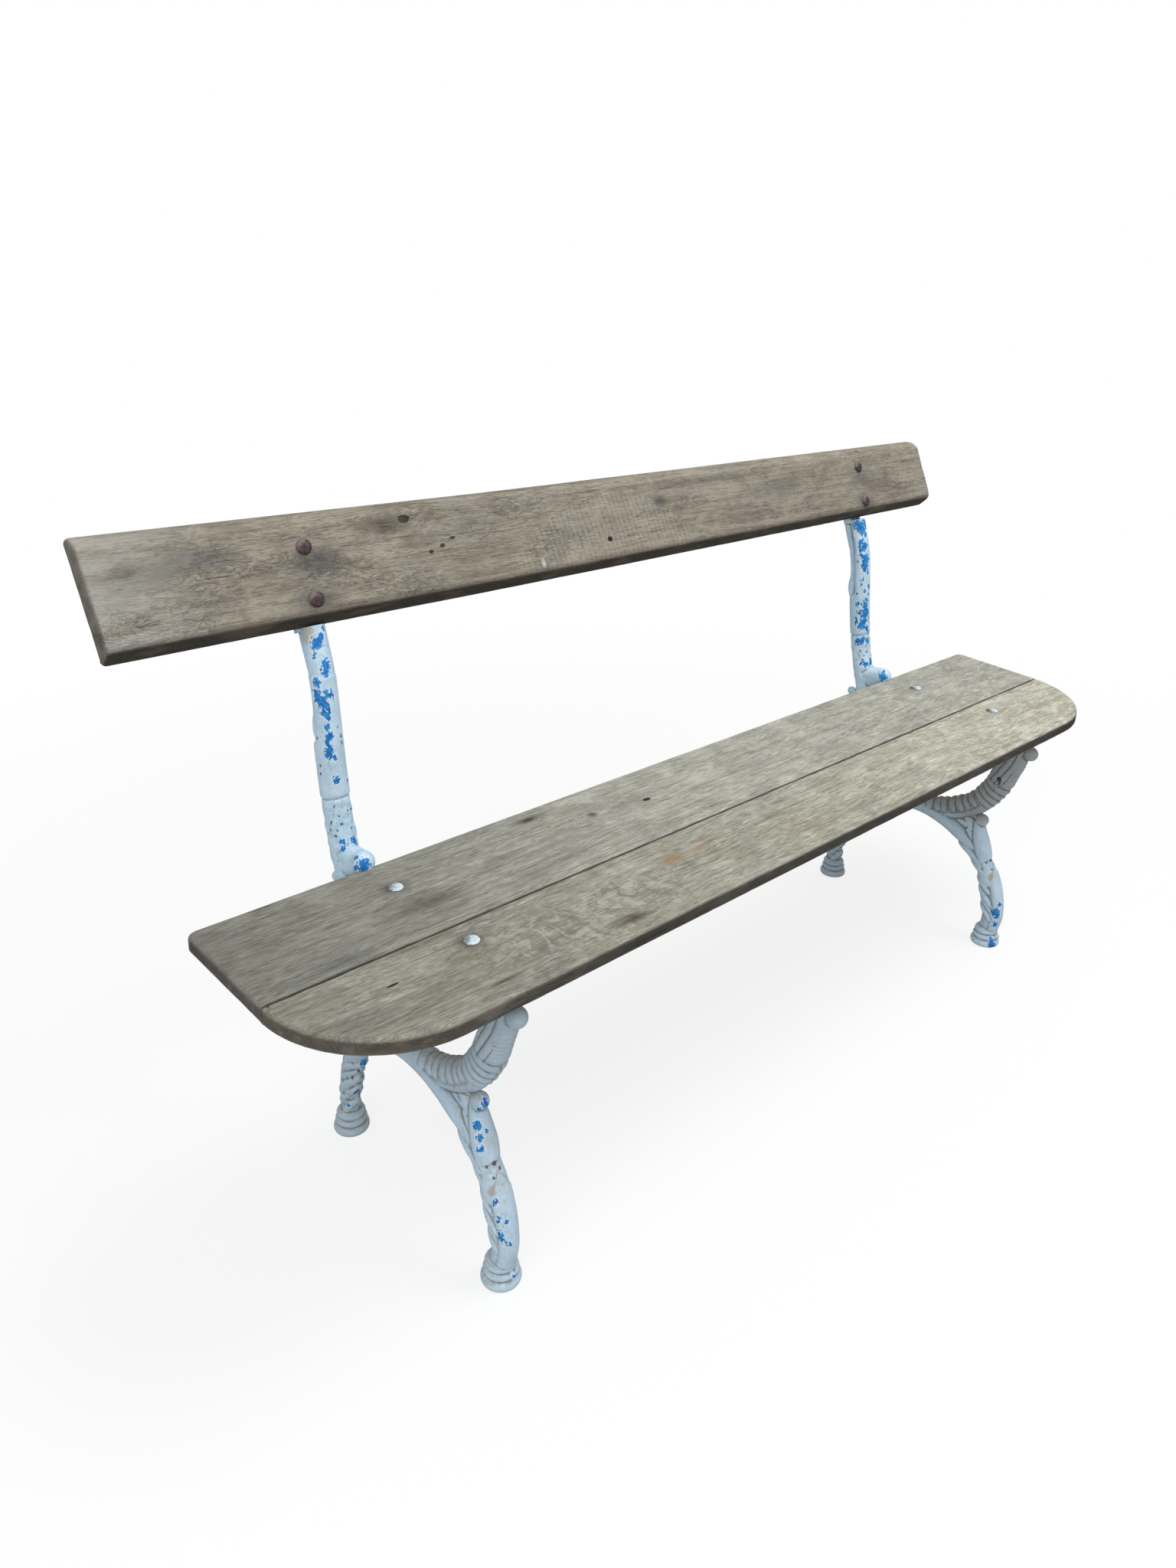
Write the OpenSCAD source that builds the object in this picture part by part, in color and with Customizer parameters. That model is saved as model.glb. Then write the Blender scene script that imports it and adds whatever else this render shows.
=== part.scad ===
/* [Seat] */
// Height of the seat's top face above the ground
seat_height = 440; // [420:1:460]
// Thickness of both seat planks
seat_thick = 21; // [19:1:24]
// Width of the front seat plank, front to back
front_plank_w = 145; // [138:1:152]
// Width of the rear seat plank, front to back
rear_plank_w = 178; // [174:1:186]
// Open seam between the two seat planks
seam_gap = 3; // [2:0.5:5]
// Distance of the seat's left end from the middle between the castings
seat_left = 802; // [760:1:840]
// Distance of the seat's right end at the seam from the same middle
seat_right = 803; // [760:1:840]
// Angle at which the right end runs out towards its rear corner
seat_right_slant = 9; // [0:0.5:12]
// Radius of the seat's front left corner
front_left_r = 150; // [90:1:165]
// Radius of the seat's front right corner
front_right_r = 188; // [90:1:200]
// Radius of the seat's two rear corners
rear_corner_r = 12; // [6:1:20]
// Rounding of the upper arrises of the seat planks
top_arris = 6; // [3:0.5:8]
// Rounding of the lower arrises of the seat planks
low_arris = 4; // [2:0.5:6]

/* [Back plank] */
// Height of the flat front face of the back plank
back_face_h = 103; // [96:1:110]
// Thickness of the back plank
back_thick = 31; // [28:1:34]
// Width of the slope along the back plank's upper front arris
back_bevel = 17; // [8:1:19]
// Angle at which the back plank leans back from upright
recline = 22; // [18:0.5:25]
// Height of the lower arris of the back plank's front face above the seat
back_rise = 312; // [300:1:325]
// Distance of that arris behind the rear edge of the seat
back_setback = 79; // [75:1:85]
// Distance of the back plank's left end from the middle between the castings
back_left = 822; // [760:1:840]
// Distance of the back plank's right end from the same middle
back_right = 781; // [760:1:840]
// How far the left end's top corner stands out past its bottom corner
back_left_lean = 7; // [0:1:20]
// How far the right end's bottom corner stands out past its top corner
back_right_lean = 6; // [0:1:20]
// How much higher the plank's upper edge is at the left end than at its waist
back_left_rise = 6; // [0:0.5:12]
// How much lower the plank's upper edge is at the right end
back_right_fall = 3; // [0:0.5:8]
// How much higher the plank's underside is at the right end
back_right_lift = 5.5; // [0:0.5:8]

/* [Castings] */
// Half the distance between the middles of the two end castings
casting_x = 568.6; // [540:0.2:600]
// Thickness of the flat bearers under the seat
bearer_thick = 18; // [14:1:22]
// Width of the bearers and of the lugs behind the back plank
bearer_w = 34; // [30:1:40]
// Thickness of the lugs behind the back plank
lug_thick = 14; // [12:1:18]
// Distance of the front feet from the seam, towards the front
front_foot = 89; // [82:1:94]
// Distance of the rear feet from the seam, towards the back
rear_foot = 249; // [242:1:256]
// Largest radius of a foot
foot_r = 25; // [22:0.5:27]
// Radius of the ball at the front of each leg
low_ball_r = 11.5; // [9:0.5:13]
// Radius of the knob under the seat's front edge
knob_r = 12.5; // [10:0.5:14]
// Radius of the boss at the seat's rear edge
boss_r = 14; // [12:0.5:16]
// Radius of the small ball behind the foot of the upright
heel_r = 7.5; // [6:0.5:9]
// Depth of the twisted flutes on the legs
flute_depth = 2.6; // [0:0.1:3.4]
// Turn of the flutes along the legs, in degrees for each millimetre
flute_turn = 1.0; // [0.4:0.1:1.6]
// Height of the ribs across the lower bend of the bow
rib_height = 1.8; // [0:0.1:2.4]

/* [Bolts] */
// Diameter of the coach bolts
bolt_d = 8; // [7:0.5:9]
// Diameter of the domed bolt heads
head_d = 20; // [18:0.5:22]
// Height of the domed bolt heads
head_h = 4.6; // [3:0.2:6]
// Distance of the front row of seat bolts in front of the seam
front_bolt_y = 37; // [30:1:60]
// Distance of the rear row of seat bolts behind the seam
rear_bolt_y = 114; // [90:1:125]
// Height of the lower back bolts above the face's lower arris
back_bolt_low = 14; // [12:1:24]
// Distance between the lower and upper back bolts
back_bolt_gap = 64; // [56:1:68]
// Thickness of the washers
washer_t = 1.6; // [1.2:0.2:2.4]
// Outer diameter of the washers
washer_d = 20; // [18:0.5:22]
// Height of the nuts
nut_h = 6.5; // [5:0.5:8]
// Width of the nuts across their flats
nut_w = 13; // [12:0.5:14]

/* [Hidden] */
$fn = 40;

iron = "#c3d2da";
wood = "#8b8475";
bare = "#5b4b4a";

// Clearance of the bolt shanks in wood and iron
shank_gap = 0.5;
// Clearance of the bolt shanks in washers and nuts
nut_gap = 0.15;
// Length of bolt that stands out past its nut
bolt_tail = 3;
// Clearance between the boss and the notch in the seat's rear edge
notch_gap = 1.5;
// Clearance between the upright's shoulder and the back plank's underside
shoulder_gap = 1;
// Square neck under each bolt head, and its clearance in the wood
neck_h = 5;
neck_gap = 0.3;
// Rounding of the back plank's ends
end_round = 6;
// How far the back plank's underside drops towards the rear
back_drop = 16;
// How far the cut for the back plank reaches past the upright
plank_room = 40;

bearer_z = seat_height - seat_thick;
seat_front_y = -seam_gap / 2 - front_plank_w;
seat_rear_y = seam_gap / 2 + rear_plank_w;
seat_long = seat_left + seat_right;
seat_deep = front_plank_w + rear_plank_w;
back_y = seat_rear_y + back_setback;
back_z = seat_height + back_rise;
lug_w = back_thick + lug_thick;
bolt_end_w = lug_w + washer_t + nut_h + bolt_tail;
back_bolt_high = back_bolt_low + back_bolt_gap;
rear_corner_y = seat_rear_y - rear_corner_r;
rear_corner_x = seat_right + rear_corner_y * tan(seat_right_slant)
    - rear_corner_r / cos(seat_right_slant);

// The origin is on the ground, in the middle of the bench's outline seen from above.
left_x = -max(seat_left, back_left + back_left_lean);
right_x = max(rear_corner_x + rear_corner_r, back_right + back_right_lean);
rear_y = back_y + (back_bolt_high + bolt_d / 2) * sin(recline) + bolt_end_w * cos(recline);
mid_x = (left_x + right_x) / 2;
mid_y = (seat_front_y + rear_y) / 2;

module in_frame() {
    translate([-mid_x, -mid_y, 0]) children();
}

// Axes of the back plank: X along it, Y through its thickness, Z up its face
module on_back(x, up) {
    translate([x, back_y, back_z]) rotate([-recline, 0, 0]) translate([0, 0, up]) children();
}

function blend(a, b, c, d, t) =
    0.5 * (2 * b + (c - a) * t + (2 * a - 5 * b + 4 * c - d) * t * t
        + (3 * b - a - 3 * c + d) * t * t * t);

function knot(p, i) =
    i < 0 ? 2 * p[0] - p[1]
    : i > len(p) - 1 ? 2 * p[len(p) - 1] - p[len(p) - 2]
    : p[i];

// Smooth path through the knots p, with steps[i] points on stretch i
function smooth_path(p, steps) = [
    for (i = [0:len(p) - 2]) for (k = [0:steps[i] - 1])
        let (t = k / steps[i])
        concat(blend(knot(p, i - 1), p[i], p[i + 1], knot(p, i + 2), t), [i + t]),
    concat(p[len(p) - 1], [len(p) - 1])
];

function unit(v) = v / norm(v);

function heading(s, i) =
    let (a = s[max(i - 1, 0)], b = s[min(i + 1, len(s) - 1)])
    unit([b[0] - a[0], b[1] - a[1]]);

function ease(a, b, v) =
    let (t = min(max((v - a) / (b - a), 0), 1))
    t * t * (3 - 2 * t);

// Closed skin over a stack of rings with the same number of points each
module skin(rings) {
    n = len(rings[0]);
    m = len(rings);
    sides = [
        for (i = [0:m - 2]) for (k = [0:n - 1])
            let (a = i * n + k, b = i * n + (k + 1) % n)
            for (f = [[a, b + n, b], [a, a + n, b + n]]) f
    ];
    low = [[for (k = [0:n - 1]) k]];
    high = [[for (k = [n - 1:-1:0]) (m - 1) * n + k]];
    polyhedron(
        points = [for (r = rings) for (q = r) q],
        faces = concat(sides, low, high),
        convexity = 8
    );
}

// Points along an arc about c
function arc(c, r, from, to, n) = [
    for (i = [0:n])
        let (a = from + (to - from) * i / n)
        [c[0] + r * cos(a), c[1] + r * sin(a)]
];

// Outline p drawn in by d all round
function drawn_in(p, d) = [
    for (i = [0:len(p) - 1])
        let (
            b = p[i],
            u = unit(b - p[(i + len(p) - 1) % len(p)]),
            v = unit(p[(i + 1) % len(p)] - b),
            w = u + v
        )
        b + d * [-w[1], w[0]] / (1 + u * v)
];

seat_outline = concat(
    arc([front_left_r - seat_left, seat_front_y + front_left_r], front_left_r, 180, 270, 12),
    arc(
        [
            seat_right + (seat_front_y + front_right_r) * tan(seat_right_slant)
                - front_right_r / cos(seat_right_slant),
            seat_front_y + front_right_r
        ],
        front_right_r, 270, 360 - seat_right_slant, 12
    ),
    arc([rear_corner_x, rear_corner_y], rear_corner_r, -seat_right_slant, 90, 4),
    arc([rear_corner_r - seat_left, rear_corner_y], rear_corner_r, 90, 180, 4)
);

// Both seat planks in one, with their outer arrises rounded
module seat_slab() {
    skin([
        for (r = concat(
            [for (a = [0:45:90]) [bearer_z + low_arris * (1 - cos(a)), 1 - sin(a), low_arris]],
            [for (a = [90:-30:0]) [seat_height - top_arris * (1 - cos(a)), 1 - sin(a), top_arris]]
        ))
            [for (q = drawn_in(seat_outline, r[1] * r[2])) [q[0], q[1], r[0]]]
    ]);
}

module seat_bolt_places() {
    for (x = [-casting_x, casting_x]) for (y = [-front_bolt_y, rear_bolt_y])
        translate([x, y, 0]) children();
}

module seat_shank_holes(z0, z1) {
    seat_bolt_places() translate([0, 0, z0])
        cylinder(d = bolt_d + 2 * shank_gap, h = z1 - z0);
}

module seat_neck_holes() {
    seat_bolt_places() translate([0, 0, seat_height - neck_h / 2])
        cube([bolt_d + 2 * neck_gap, bolt_d + 2 * neck_gap, neck_h + 2], center = true);
}

module half_of_seat(side) {
    difference() {
        seat_slab();
        translate([-seat_long, side > 0 ? seam_gap / 2 - seat_deep : -seam_gap / 2, bearer_z - 10])
            cube([2 * seat_long, seat_deep, seat_thick + 20]);
        seat_shank_holes(bearer_z - 5, seat_height + 5);
        seat_neck_holes();
        if (side > 0)
            for (x = [-casting_x, casting_x])
                translate([x, boss_place[0], bearer_z - 5])
                    cylinder(r = boss_r + notch_gap, h = seat_thick + 10);
    }
}

module seat_front_plank() {
    color(wood) in_frame() half_of_seat(-1);
}

module seat_rear_plank() {
    color(wood) in_frame() half_of_seat(1);
}

// Section of the back plank: through its thickness, then up its face
back_section = [
    [back_thick, -back_drop + 4],
    [back_thick, back_face_h + back_bevel - 4],
    [back_thick - 4, back_face_h + back_bevel],
    [back_bevel + 3, back_face_h + back_bevel],
    [back_bevel * 0.45, back_face_h + back_bevel * 0.62],
    [0, back_face_h],
    [0, 2],
    [3, -5],
    [9, -9],
    [back_thick - 4, -back_drop]
];

function back_end_x(side, up) =
    let (top = min(max(up / back_face_h, 0), 1))
    side < 0 ? -back_left - back_left_lean * top
    : side > 0 ? back_right + back_right_lean * (1 - top)
    : back_waist_x;

// The plank widens from its waist to the left end, and narrows to the right end.
back_waist_x = -casting_x / 2;
function back_shift(x, up) =
    let (
        left = max(back_waist_x - x, 0) / (back_waist_x + back_left + back_left_lean),
        right = max(x - back_waist_x, 0) / (back_right + back_right_lean - back_waist_x)
    )
    up > back_face_h / 2 ? back_left_rise * left - back_right_fall * right
    : back_right_lift * right;

module back_plank() {
    stack = concat(
        [for (a = [0:45:90]) [-1, end_round * (1 - cos(a)), end_round * (1 - sin(a))]],
        [[0, 0, 0]],
        [for (a = [90:-45:0]) [1, -end_round * (1 - cos(a)), end_round * (1 - sin(a))]]
    );
    color(wood) in_frame() difference() {
        on_back(0, 0) skin([
            for (s = stack) [
                for (q = drawn_in(back_section, s[2]))
                    let (x = back_end_x(s[0], q[1]) + s[1])
                    [x, q[0], q[1] + back_shift(x, q[1])]
            ]
        ]);
        back_shank_holes(-5, back_thick + 5);
        back_neck_holes();
    }
}

module back_bolt_places() {
    for (x = [-casting_x, casting_x]) for (up = [back_bolt_low, back_bolt_high])
        on_back(x, up) children();
}

module back_shank_holes(w0, w1) {
    back_bolt_places() translate([0, w0, 0]) rotate([-90, 0, 0])
        cylinder(d = bolt_d + 2 * shank_gap, h = w1 - w0);
}

module back_neck_holes() {
    back_bolt_places() translate([0, neck_h / 2, 0])
        cube([bolt_d + 2 * neck_gap, neck_h + 2, bolt_d + 2 * neck_gap], center = true);
}

// The castings are drawn from the side. Depths run from the seam between the seat
// planks, heights from the ground, and both follow the feet, the seat and the back plank.
function low_y(y) = -front_foot + (y + 89) * (front_foot + rear_foot) / 338;
function low_z(z) = z * bearer_z / 419;

lug_foot_y = back_y - back_drop * sin(recline) + back_thick * cos(recline);
lug_foot_z = back_z - back_drop * cos(recline) - back_thick * sin(recline);

function rise(z) = min(max((z - 419) / 306.6, 0), 1);
function side_knot(k) =
    [
        low_y(k[0]) + rise(k[1]) * (lug_foot_y - low_y(281.7)),
        k[1] < 419 ? low_z(k[1]) : bearer_z + (k[1] - 419) * (lug_foot_z - bearer_z) / 306.6,
        k[2],
        k[3]
    ];

// Depth, height, half thickness seen from the side and half width of the legs
leg_knots = [for (k = [
    [-90, 20, 16.5, 15.5],
    [-94, 50, 18.5, 15.5],
    [-93, 75, 19, 16],
    [-88, 100, 19, 17],
    [-80, 125, 18, 17],
    [-66, 150, 16.5, 17],
    [-41, 176, 15.5, 17],
    [-2, 202, 15.5, 16.5],
    [40, 217, 15.5, 16],
    [80, 222, 16, 16],
    [122, 217, 15.5, 16],
    [160, 202, 15.5, 16],
    [193, 177, 16, 16],
    [215, 150, 17, 16],
    [231, 125, 18, 16],
    [240, 100, 17.5, 16],
    [246, 75, 17, 15.5],
    [248, 50, 16.5, 15],
    [249, 20, 16, 15]
]) side_knot(k)];

// The same for the bow: front arm, lower bend, rear arm and upright
bow_knots = [for (k = [
    [-100, 405, 16, 15],
    [-98, 386, 18, 16],
    [-92, 365, 21, 18],
    [-83, 345, 22.5, 19],
    [-71, 313, 23, 20],
    [-55, 286, 22.5, 19.5],
    [-35, 263, 21.5, 18.5],
    [-9, 245, 21, 17.5],
    [17, 234.5, 20, 17],
    [42, 229, 18.5, 16],
    [80, 226, 17.5, 16],
    [118, 230, 18, 16],
    [150, 243, 18.5, 16],
    [175, 263, 19, 16.5],
    [193, 290, 19, 17],
    [205, 320, 19, 17],
    [213, 352, 19, 17.5],
    [218, 385, 18, 17.5],
    [221.5, 415, 16.5, 17.5],
    [230.5, 450, 17.5, 18.5],
    [242, 500, 17, 18],
    [250, 550, 17.5, 17.5],
    [256, 600, 18, 17.5],
    [262, 650, 18, 17.5],
    [267, 680, 18, 18.5],
    [275, 703, 19, 19],
    [285.4, 738, 19, 19]
]) side_knot(k)];

leg_steps = [for (i = [0:17]) 3];
bow_steps = [for (i = [0:25]) i < 5 ? 3 : i < 6 ? 12 : i < 10 ? 9 : i < 12 ? 3 : 2];

// Twisted flutes cut into the inner side of the legs
function flute(a, s) =
    let (inner = ease(-0.35, 0.5, sin(a)), clear = ease(28, 44, s[1]) * (1 - ease(185, 205, s[1])))
    -flute_depth * inner * clear * (0.5 + 0.5 * cos(5 * (a + flute_turn * s[1])));

// Rings on the front bend, ribs behind them, leaf flutes on the arm, a stem up the back
function bow_relief(a, s) =
    let (
        i = s[4],
        rings = ease(4.9, 5.05, i) * (1 - ease(6, 6.1, i)) * (abs(sin(180 * (i - 5) * 3)) - 0.5),
        ribs = ease(6, 6.1, i) * (1 - ease(9.4, 9.9, i)) * (abs(sin(180 * (i - 6) * 2.25)) - 0.4),
        leaf = ease(1, 2, i) * (1 - ease(4.4, 4.9, i)) * (0.5 * cos(6 * a + 40 * i) - 0.5),
        stem = ease(21.4, 22, i) * (1 - ease(25.4, 26, i)) * exp(-pow((a - 270) / 24, 2))
    )
    rib_height * (rings + ribs + leaf) - 4 * stem;

function tube_rings(s, m, kind) = [
    for (i = [0:len(s) - 1])
        let (h = heading(s, i))
        [
            for (k = [0:m - 1])
                let (
                    a = 360 * k / m,
                    d = kind == 0 ? flute(a, s[i]) : bow_relief(a, s[i]),
                    across = (s[i][2] + d) * sin(a)
                )
                [(s[i][3] + d) * cos(a), s[i][0] + h[1] * across, s[i][1] - h[0] * across]
        ]
];

boss_place = [low_y(184) + rise(449) * (lug_foot_y - low_y(281.7)), seat_height + 9];

module foot() {
    rotate_extrude($fn = 48) polygon([
        [0, 0],
        [foot_r - 3, 0],
        [foot_r - 0.8, 2.5],
        [foot_r, 7],
        [foot_r - 0.8, 12],
        [foot_r - 3, 16],
        [foot_r - 4.6, 18.5],
        [foot_r - 3.6, 21],
        [foot_r - 3.6, 23.5],
        [foot_r - 5.6, 26],
        [foot_r - 4.8, 28],
        [foot_r - 4.8, 30.5],
        [foot_r - 8.5, 34],
        [0, 34]
    ]);
}

module bearer() {
    translate([0, 0, bearer_z - bearer_thick]) linear_extrude(height = bearer_thick) {
        translate([-bearer_w / 2, low_y(-96)])
            square([bearer_w, low_y(206) - low_y(-96)]);
        translate([0, low_y(-96)]) circle(r = bearer_w / 2);
    }
}

module lug() {
    on_back(0, 0) translate([0, lug_w, 0]) rotate([90, 0, 0])
        linear_extrude(height = lug_thick) {
            translate([-bearer_w / 2, -back_drop - 16])
                square([bearer_w, back_bolt_high + back_drop + 16]);
            translate([0, back_bolt_high]) circle(r = bearer_w / 2);
        }
}

module end_casting(x) {
    color(iron) in_frame() difference() {
        translate([x, 0, 0]) {
            skin(tube_rings(smooth_path(leg_knots, leg_steps), 22, 0));
            skin(tube_rings(smooth_path(bow_knots, bow_steps), 16, 1));
            translate([0, low_y(-89), 0]) foot();
            translate([0, low_y(249), 0]) foot();
            translate([0, low_y(-49), low_z(180)]) rotate([-5.5, 0, 0])
                cylinder(r1 = 13, r2 = low_ball_r - 1.5, h = low_z(52));
            translate([0, low_y(-50), low_z(233)]) sphere(r = low_ball_r);
            translate([0, low_y(-117), low_z(384)]) sphere(r = knob_r);
            translate([0, boss_place[0], boss_place[1]]) {
                sphere(r = boss_r);
                rotate([-90, 0, 0]) cylinder(r = boss_r - 2.5, h = 46);
            }
            translate([0, low_y(250), low_z(398)]) {
                sphere(r = heel_r);
                rotate([90, 0, 0]) cylinder(r = heel_r - 0.5, h = 25);
            }
            bearer();
            lug();
        }
        on_back(x, back_shift(x, 0) - back_drop - shoulder_gap)
            translate([-plank_room, -plank_room, 0])
                cube([2 * plank_room, plank_room + back_thick, 2 * back_face_h]);
        seat_shank_holes(bearer_z - bearer_thick - 5, bearer_z + 5);
        back_shank_holes(back_thick - 5, lug_w + 5);
    }
}

module left_end_casting() {
    end_casting(-casting_x);
}

module right_end_casting() {
    end_casting(casting_x);
}

// A coach bolt along +Z: the tail's end is low and the head's flat underside is at z = 0
module coach_bolt(grip) {
    dome_r = (head_d * head_d / 4 + head_h * head_h) / (2 * head_h);
    rotate_extrude($fn = 48) polygon(concat(
        [[0, 0], [head_d / 2, 0]],
        [
            for (a = [15:15:90])
                let (t = asin(head_d / 2 / dome_r) * (1 - a / 90))
                [a > 89 ? 0 : dome_r * sin(t), head_h - dome_r * (1 - cos(t))]
        ]
    ));
    translate([0, 0, -neck_h / 2]) cube([bolt_d, bolt_d, neck_h], center = true);
    translate([0, 0, -grip]) cylinder(d = bolt_d, h = grip);
}

module washer() {
    difference() {
        cylinder(d = washer_d, h = washer_t);
        translate([0, 0, -1]) cylinder(d = bolt_d + 2 * nut_gap, h = washer_t + 2);
    }
}

module nut() {
    difference() {
        cylinder(d = nut_w / cos(30), h = nut_h, $fn = 6);
        translate([0, 0, -1]) cylinder(d = bolt_d + 2 * nut_gap, h = nut_h + 2);
    }
}

seat_grip = seat_thick + bearer_thick + washer_t + nut_h + bolt_tail;
under_z = bearer_z - bearer_thick;

module seat_bolt(x, y) {
    color(iron) in_frame() translate([x, y, seat_height]) coach_bolt(seat_grip);
}

module seat_washer(x, y) {
    color(bare) in_frame() translate([x, y, under_z - washer_t]) washer();
}

module seat_nut(x, y) {
    color(bare) in_frame() translate([x, y, under_z - washer_t - nut_h]) nut();
}

module back_bolt(x, up) {
    color(bare) in_frame() on_back(x, up) rotate([90, 0, 0]) coach_bolt(bolt_end_w);
}

module back_washer(x, up) {
    color(bare) in_frame() on_back(x, up) translate([0, lug_w, 0]) rotate([-90, 0, 0]) washer();
}

module back_nut(x, up) {
    color(bare) in_frame() on_back(x, up) translate([0, lug_w + washer_t, 0])
        rotate([-90, 0, 0]) nut();
}

module seat_bolt_left_front() seat_bolt(-casting_x, -front_bolt_y);
module seat_bolt_left_rear() seat_bolt(-casting_x, rear_bolt_y);
module seat_bolt_right_front() seat_bolt(casting_x, -front_bolt_y);
module seat_bolt_right_rear() seat_bolt(casting_x, rear_bolt_y);
module seat_washer_left_front() seat_washer(-casting_x, -front_bolt_y);
module seat_washer_left_rear() seat_washer(-casting_x, rear_bolt_y);
module seat_washer_right_front() seat_washer(casting_x, -front_bolt_y);
module seat_washer_right_rear() seat_washer(casting_x, rear_bolt_y);
module seat_nut_left_front() seat_nut(-casting_x, -front_bolt_y);
module seat_nut_left_rear() seat_nut(-casting_x, rear_bolt_y);
module seat_nut_right_front() seat_nut(casting_x, -front_bolt_y);
module seat_nut_right_rear() seat_nut(casting_x, rear_bolt_y);
module back_bolt_left_lower() back_bolt(-casting_x, back_bolt_low);
module back_bolt_left_upper() back_bolt(-casting_x, back_bolt_high);
module back_bolt_right_lower() back_bolt(casting_x, back_bolt_low);
module back_bolt_right_upper() back_bolt(casting_x, back_bolt_high);
module back_washer_left_lower() back_washer(-casting_x, back_bolt_low);
module back_washer_left_upper() back_washer(-casting_x, back_bolt_high);
module back_washer_right_lower() back_washer(casting_x, back_bolt_low);
module back_washer_right_upper() back_washer(casting_x, back_bolt_high);
module back_nut_left_lower() back_nut(-casting_x, back_bolt_low);
module back_nut_left_upper() back_nut(-casting_x, back_bolt_high);
module back_nut_right_lower() back_nut(casting_x, back_bolt_low);
module back_nut_right_upper() back_nut(casting_x, back_bolt_high);

left_end_casting();
right_end_casting();
seat_front_plank();
seat_rear_plank();
back_plank();
seat_bolt_left_front();
seat_bolt_left_rear();
seat_bolt_right_front();
seat_bolt_right_rear();
seat_washer_left_front();
seat_washer_left_rear();
seat_washer_right_front();
seat_washer_right_rear();
seat_nut_left_front();
seat_nut_left_rear();
seat_nut_right_front();
seat_nut_right_rear();
back_bolt_left_lower();
back_bolt_left_upper();
back_bolt_right_lower();
back_bolt_right_upper();
back_washer_left_lower();
back_washer_left_upper();
back_washer_right_lower();
back_washer_right_upper();
back_nut_left_lower();
back_nut_left_upper();
back_nut_right_lower();
back_nut_right_upper();
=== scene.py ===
import math

import bmesh
import bpy
import numpy as np
from mathutils import Matrix, Vector, noise


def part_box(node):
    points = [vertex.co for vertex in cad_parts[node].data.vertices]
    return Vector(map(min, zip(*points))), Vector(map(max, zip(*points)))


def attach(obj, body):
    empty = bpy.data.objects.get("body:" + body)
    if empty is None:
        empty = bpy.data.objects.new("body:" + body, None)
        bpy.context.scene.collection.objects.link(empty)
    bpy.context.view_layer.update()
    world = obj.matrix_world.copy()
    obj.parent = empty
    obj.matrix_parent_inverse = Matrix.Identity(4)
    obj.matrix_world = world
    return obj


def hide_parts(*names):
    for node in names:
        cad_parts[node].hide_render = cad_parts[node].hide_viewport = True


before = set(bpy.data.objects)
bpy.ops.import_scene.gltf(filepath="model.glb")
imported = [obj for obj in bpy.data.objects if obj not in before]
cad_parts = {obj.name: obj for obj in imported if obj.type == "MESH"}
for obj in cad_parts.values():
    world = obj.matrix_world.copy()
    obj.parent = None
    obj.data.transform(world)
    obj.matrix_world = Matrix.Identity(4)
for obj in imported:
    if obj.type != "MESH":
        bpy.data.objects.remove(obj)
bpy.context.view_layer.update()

# Sizes are in millimetres. Lengths along the bench start midway between the castings,
# and depths at the seam between the two seat planks.
MM = 0.001
SEAT_HEIGHT, SEAT_THICK, SEAM_GAP = 440.0, 21.0, 3.0
FRONT_PLANK_W, REAR_PLANK_W = 145.0, 178.0
SEAT_LEFT, SEAT_RIGHT, RIGHT_SLANT = 802.0, 803.0, 9.0
FRONT_LEFT_R, FRONT_RIGHT_R, REAR_CORNER_R = 150.0, 188.0, 12.0
TOP_ARRIS, LOW_ARRIS, SEAM_ARRIS = 6.0, 4.0, 0.9
BACK_FACE_H, BACK_THICK, BACK_BEVEL, RECLINE = 103.0, 31.0, 17.0, 22.0
BACK_RISE, BACK_SETBACK, BACK_LEFT, BACK_RIGHT = 312.0, 79.0, 822.0, 781.0
BACK_LEFT_LEAN, BACK_RIGHT_LEAN, BACK_DROP, END_ROUND = 7.0, 6.0, 16.0, 6.0
BACK_LEFT_RISE, BACK_RIGHT_FALL, BACK_RIGHT_LIFT = 6.0, 3.0, 5.5
CASTING_X, BEARER_THICK, BEARER_W, LUG_THICK = 568.6, 18.0, 34.0, 14.0
BACK_WAIST_X = -CASTING_X / 2
BOLT_D, HEAD_D, HEAD_H, NECK_H = 8.0, 20.0, 4.6, 5.0
FRONT_BOLT_Y, REAR_BOLT_Y, BACK_BOLT_LOW, BACK_BOLT_GAP = 37.0, 114.0, 14.0, 64.0
FOOT_R, LOW_BALL_R, KNOB_R, BOSS_R, HEEL_R = 25.0, 11.5, 12.5, 14.0, 7.5
WASHER_D, WASHER_T, NUT_W, NUT_H, NUT_GAP, BOLT_TAIL = 20.0, 1.6, 13.0, 6.5, 0.15, 3.0

BEARER_Z = SEAT_HEIGHT - SEAT_THICK
SEAT_FRONT_Y = -SEAM_GAP / 2 - FRONT_PLANK_W
SEAT_REAR_Y = SEAM_GAP / 2 + REAR_PLANK_W
BACK_Y = SEAT_REAR_Y + BACK_SETBACK
BACK_Z = SEAT_HEIGHT + BACK_RISE
LUG_W = BACK_THICK + LUG_THICK
BACK_BOLT_HIGH = BACK_BOLT_LOW + BACK_BOLT_GAP


def node_box(name):
    return [np.array(corner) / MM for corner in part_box(name)]


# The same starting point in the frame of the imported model
START = np.array([
    (node_box("left_end_casting")[0][0] + node_box("right_end_casting")[1][0]) / 2,
    node_box("seat_rear_plank")[0][1] - SEAM_GAP / 2,
    0.0,
])

# Meshes


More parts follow.
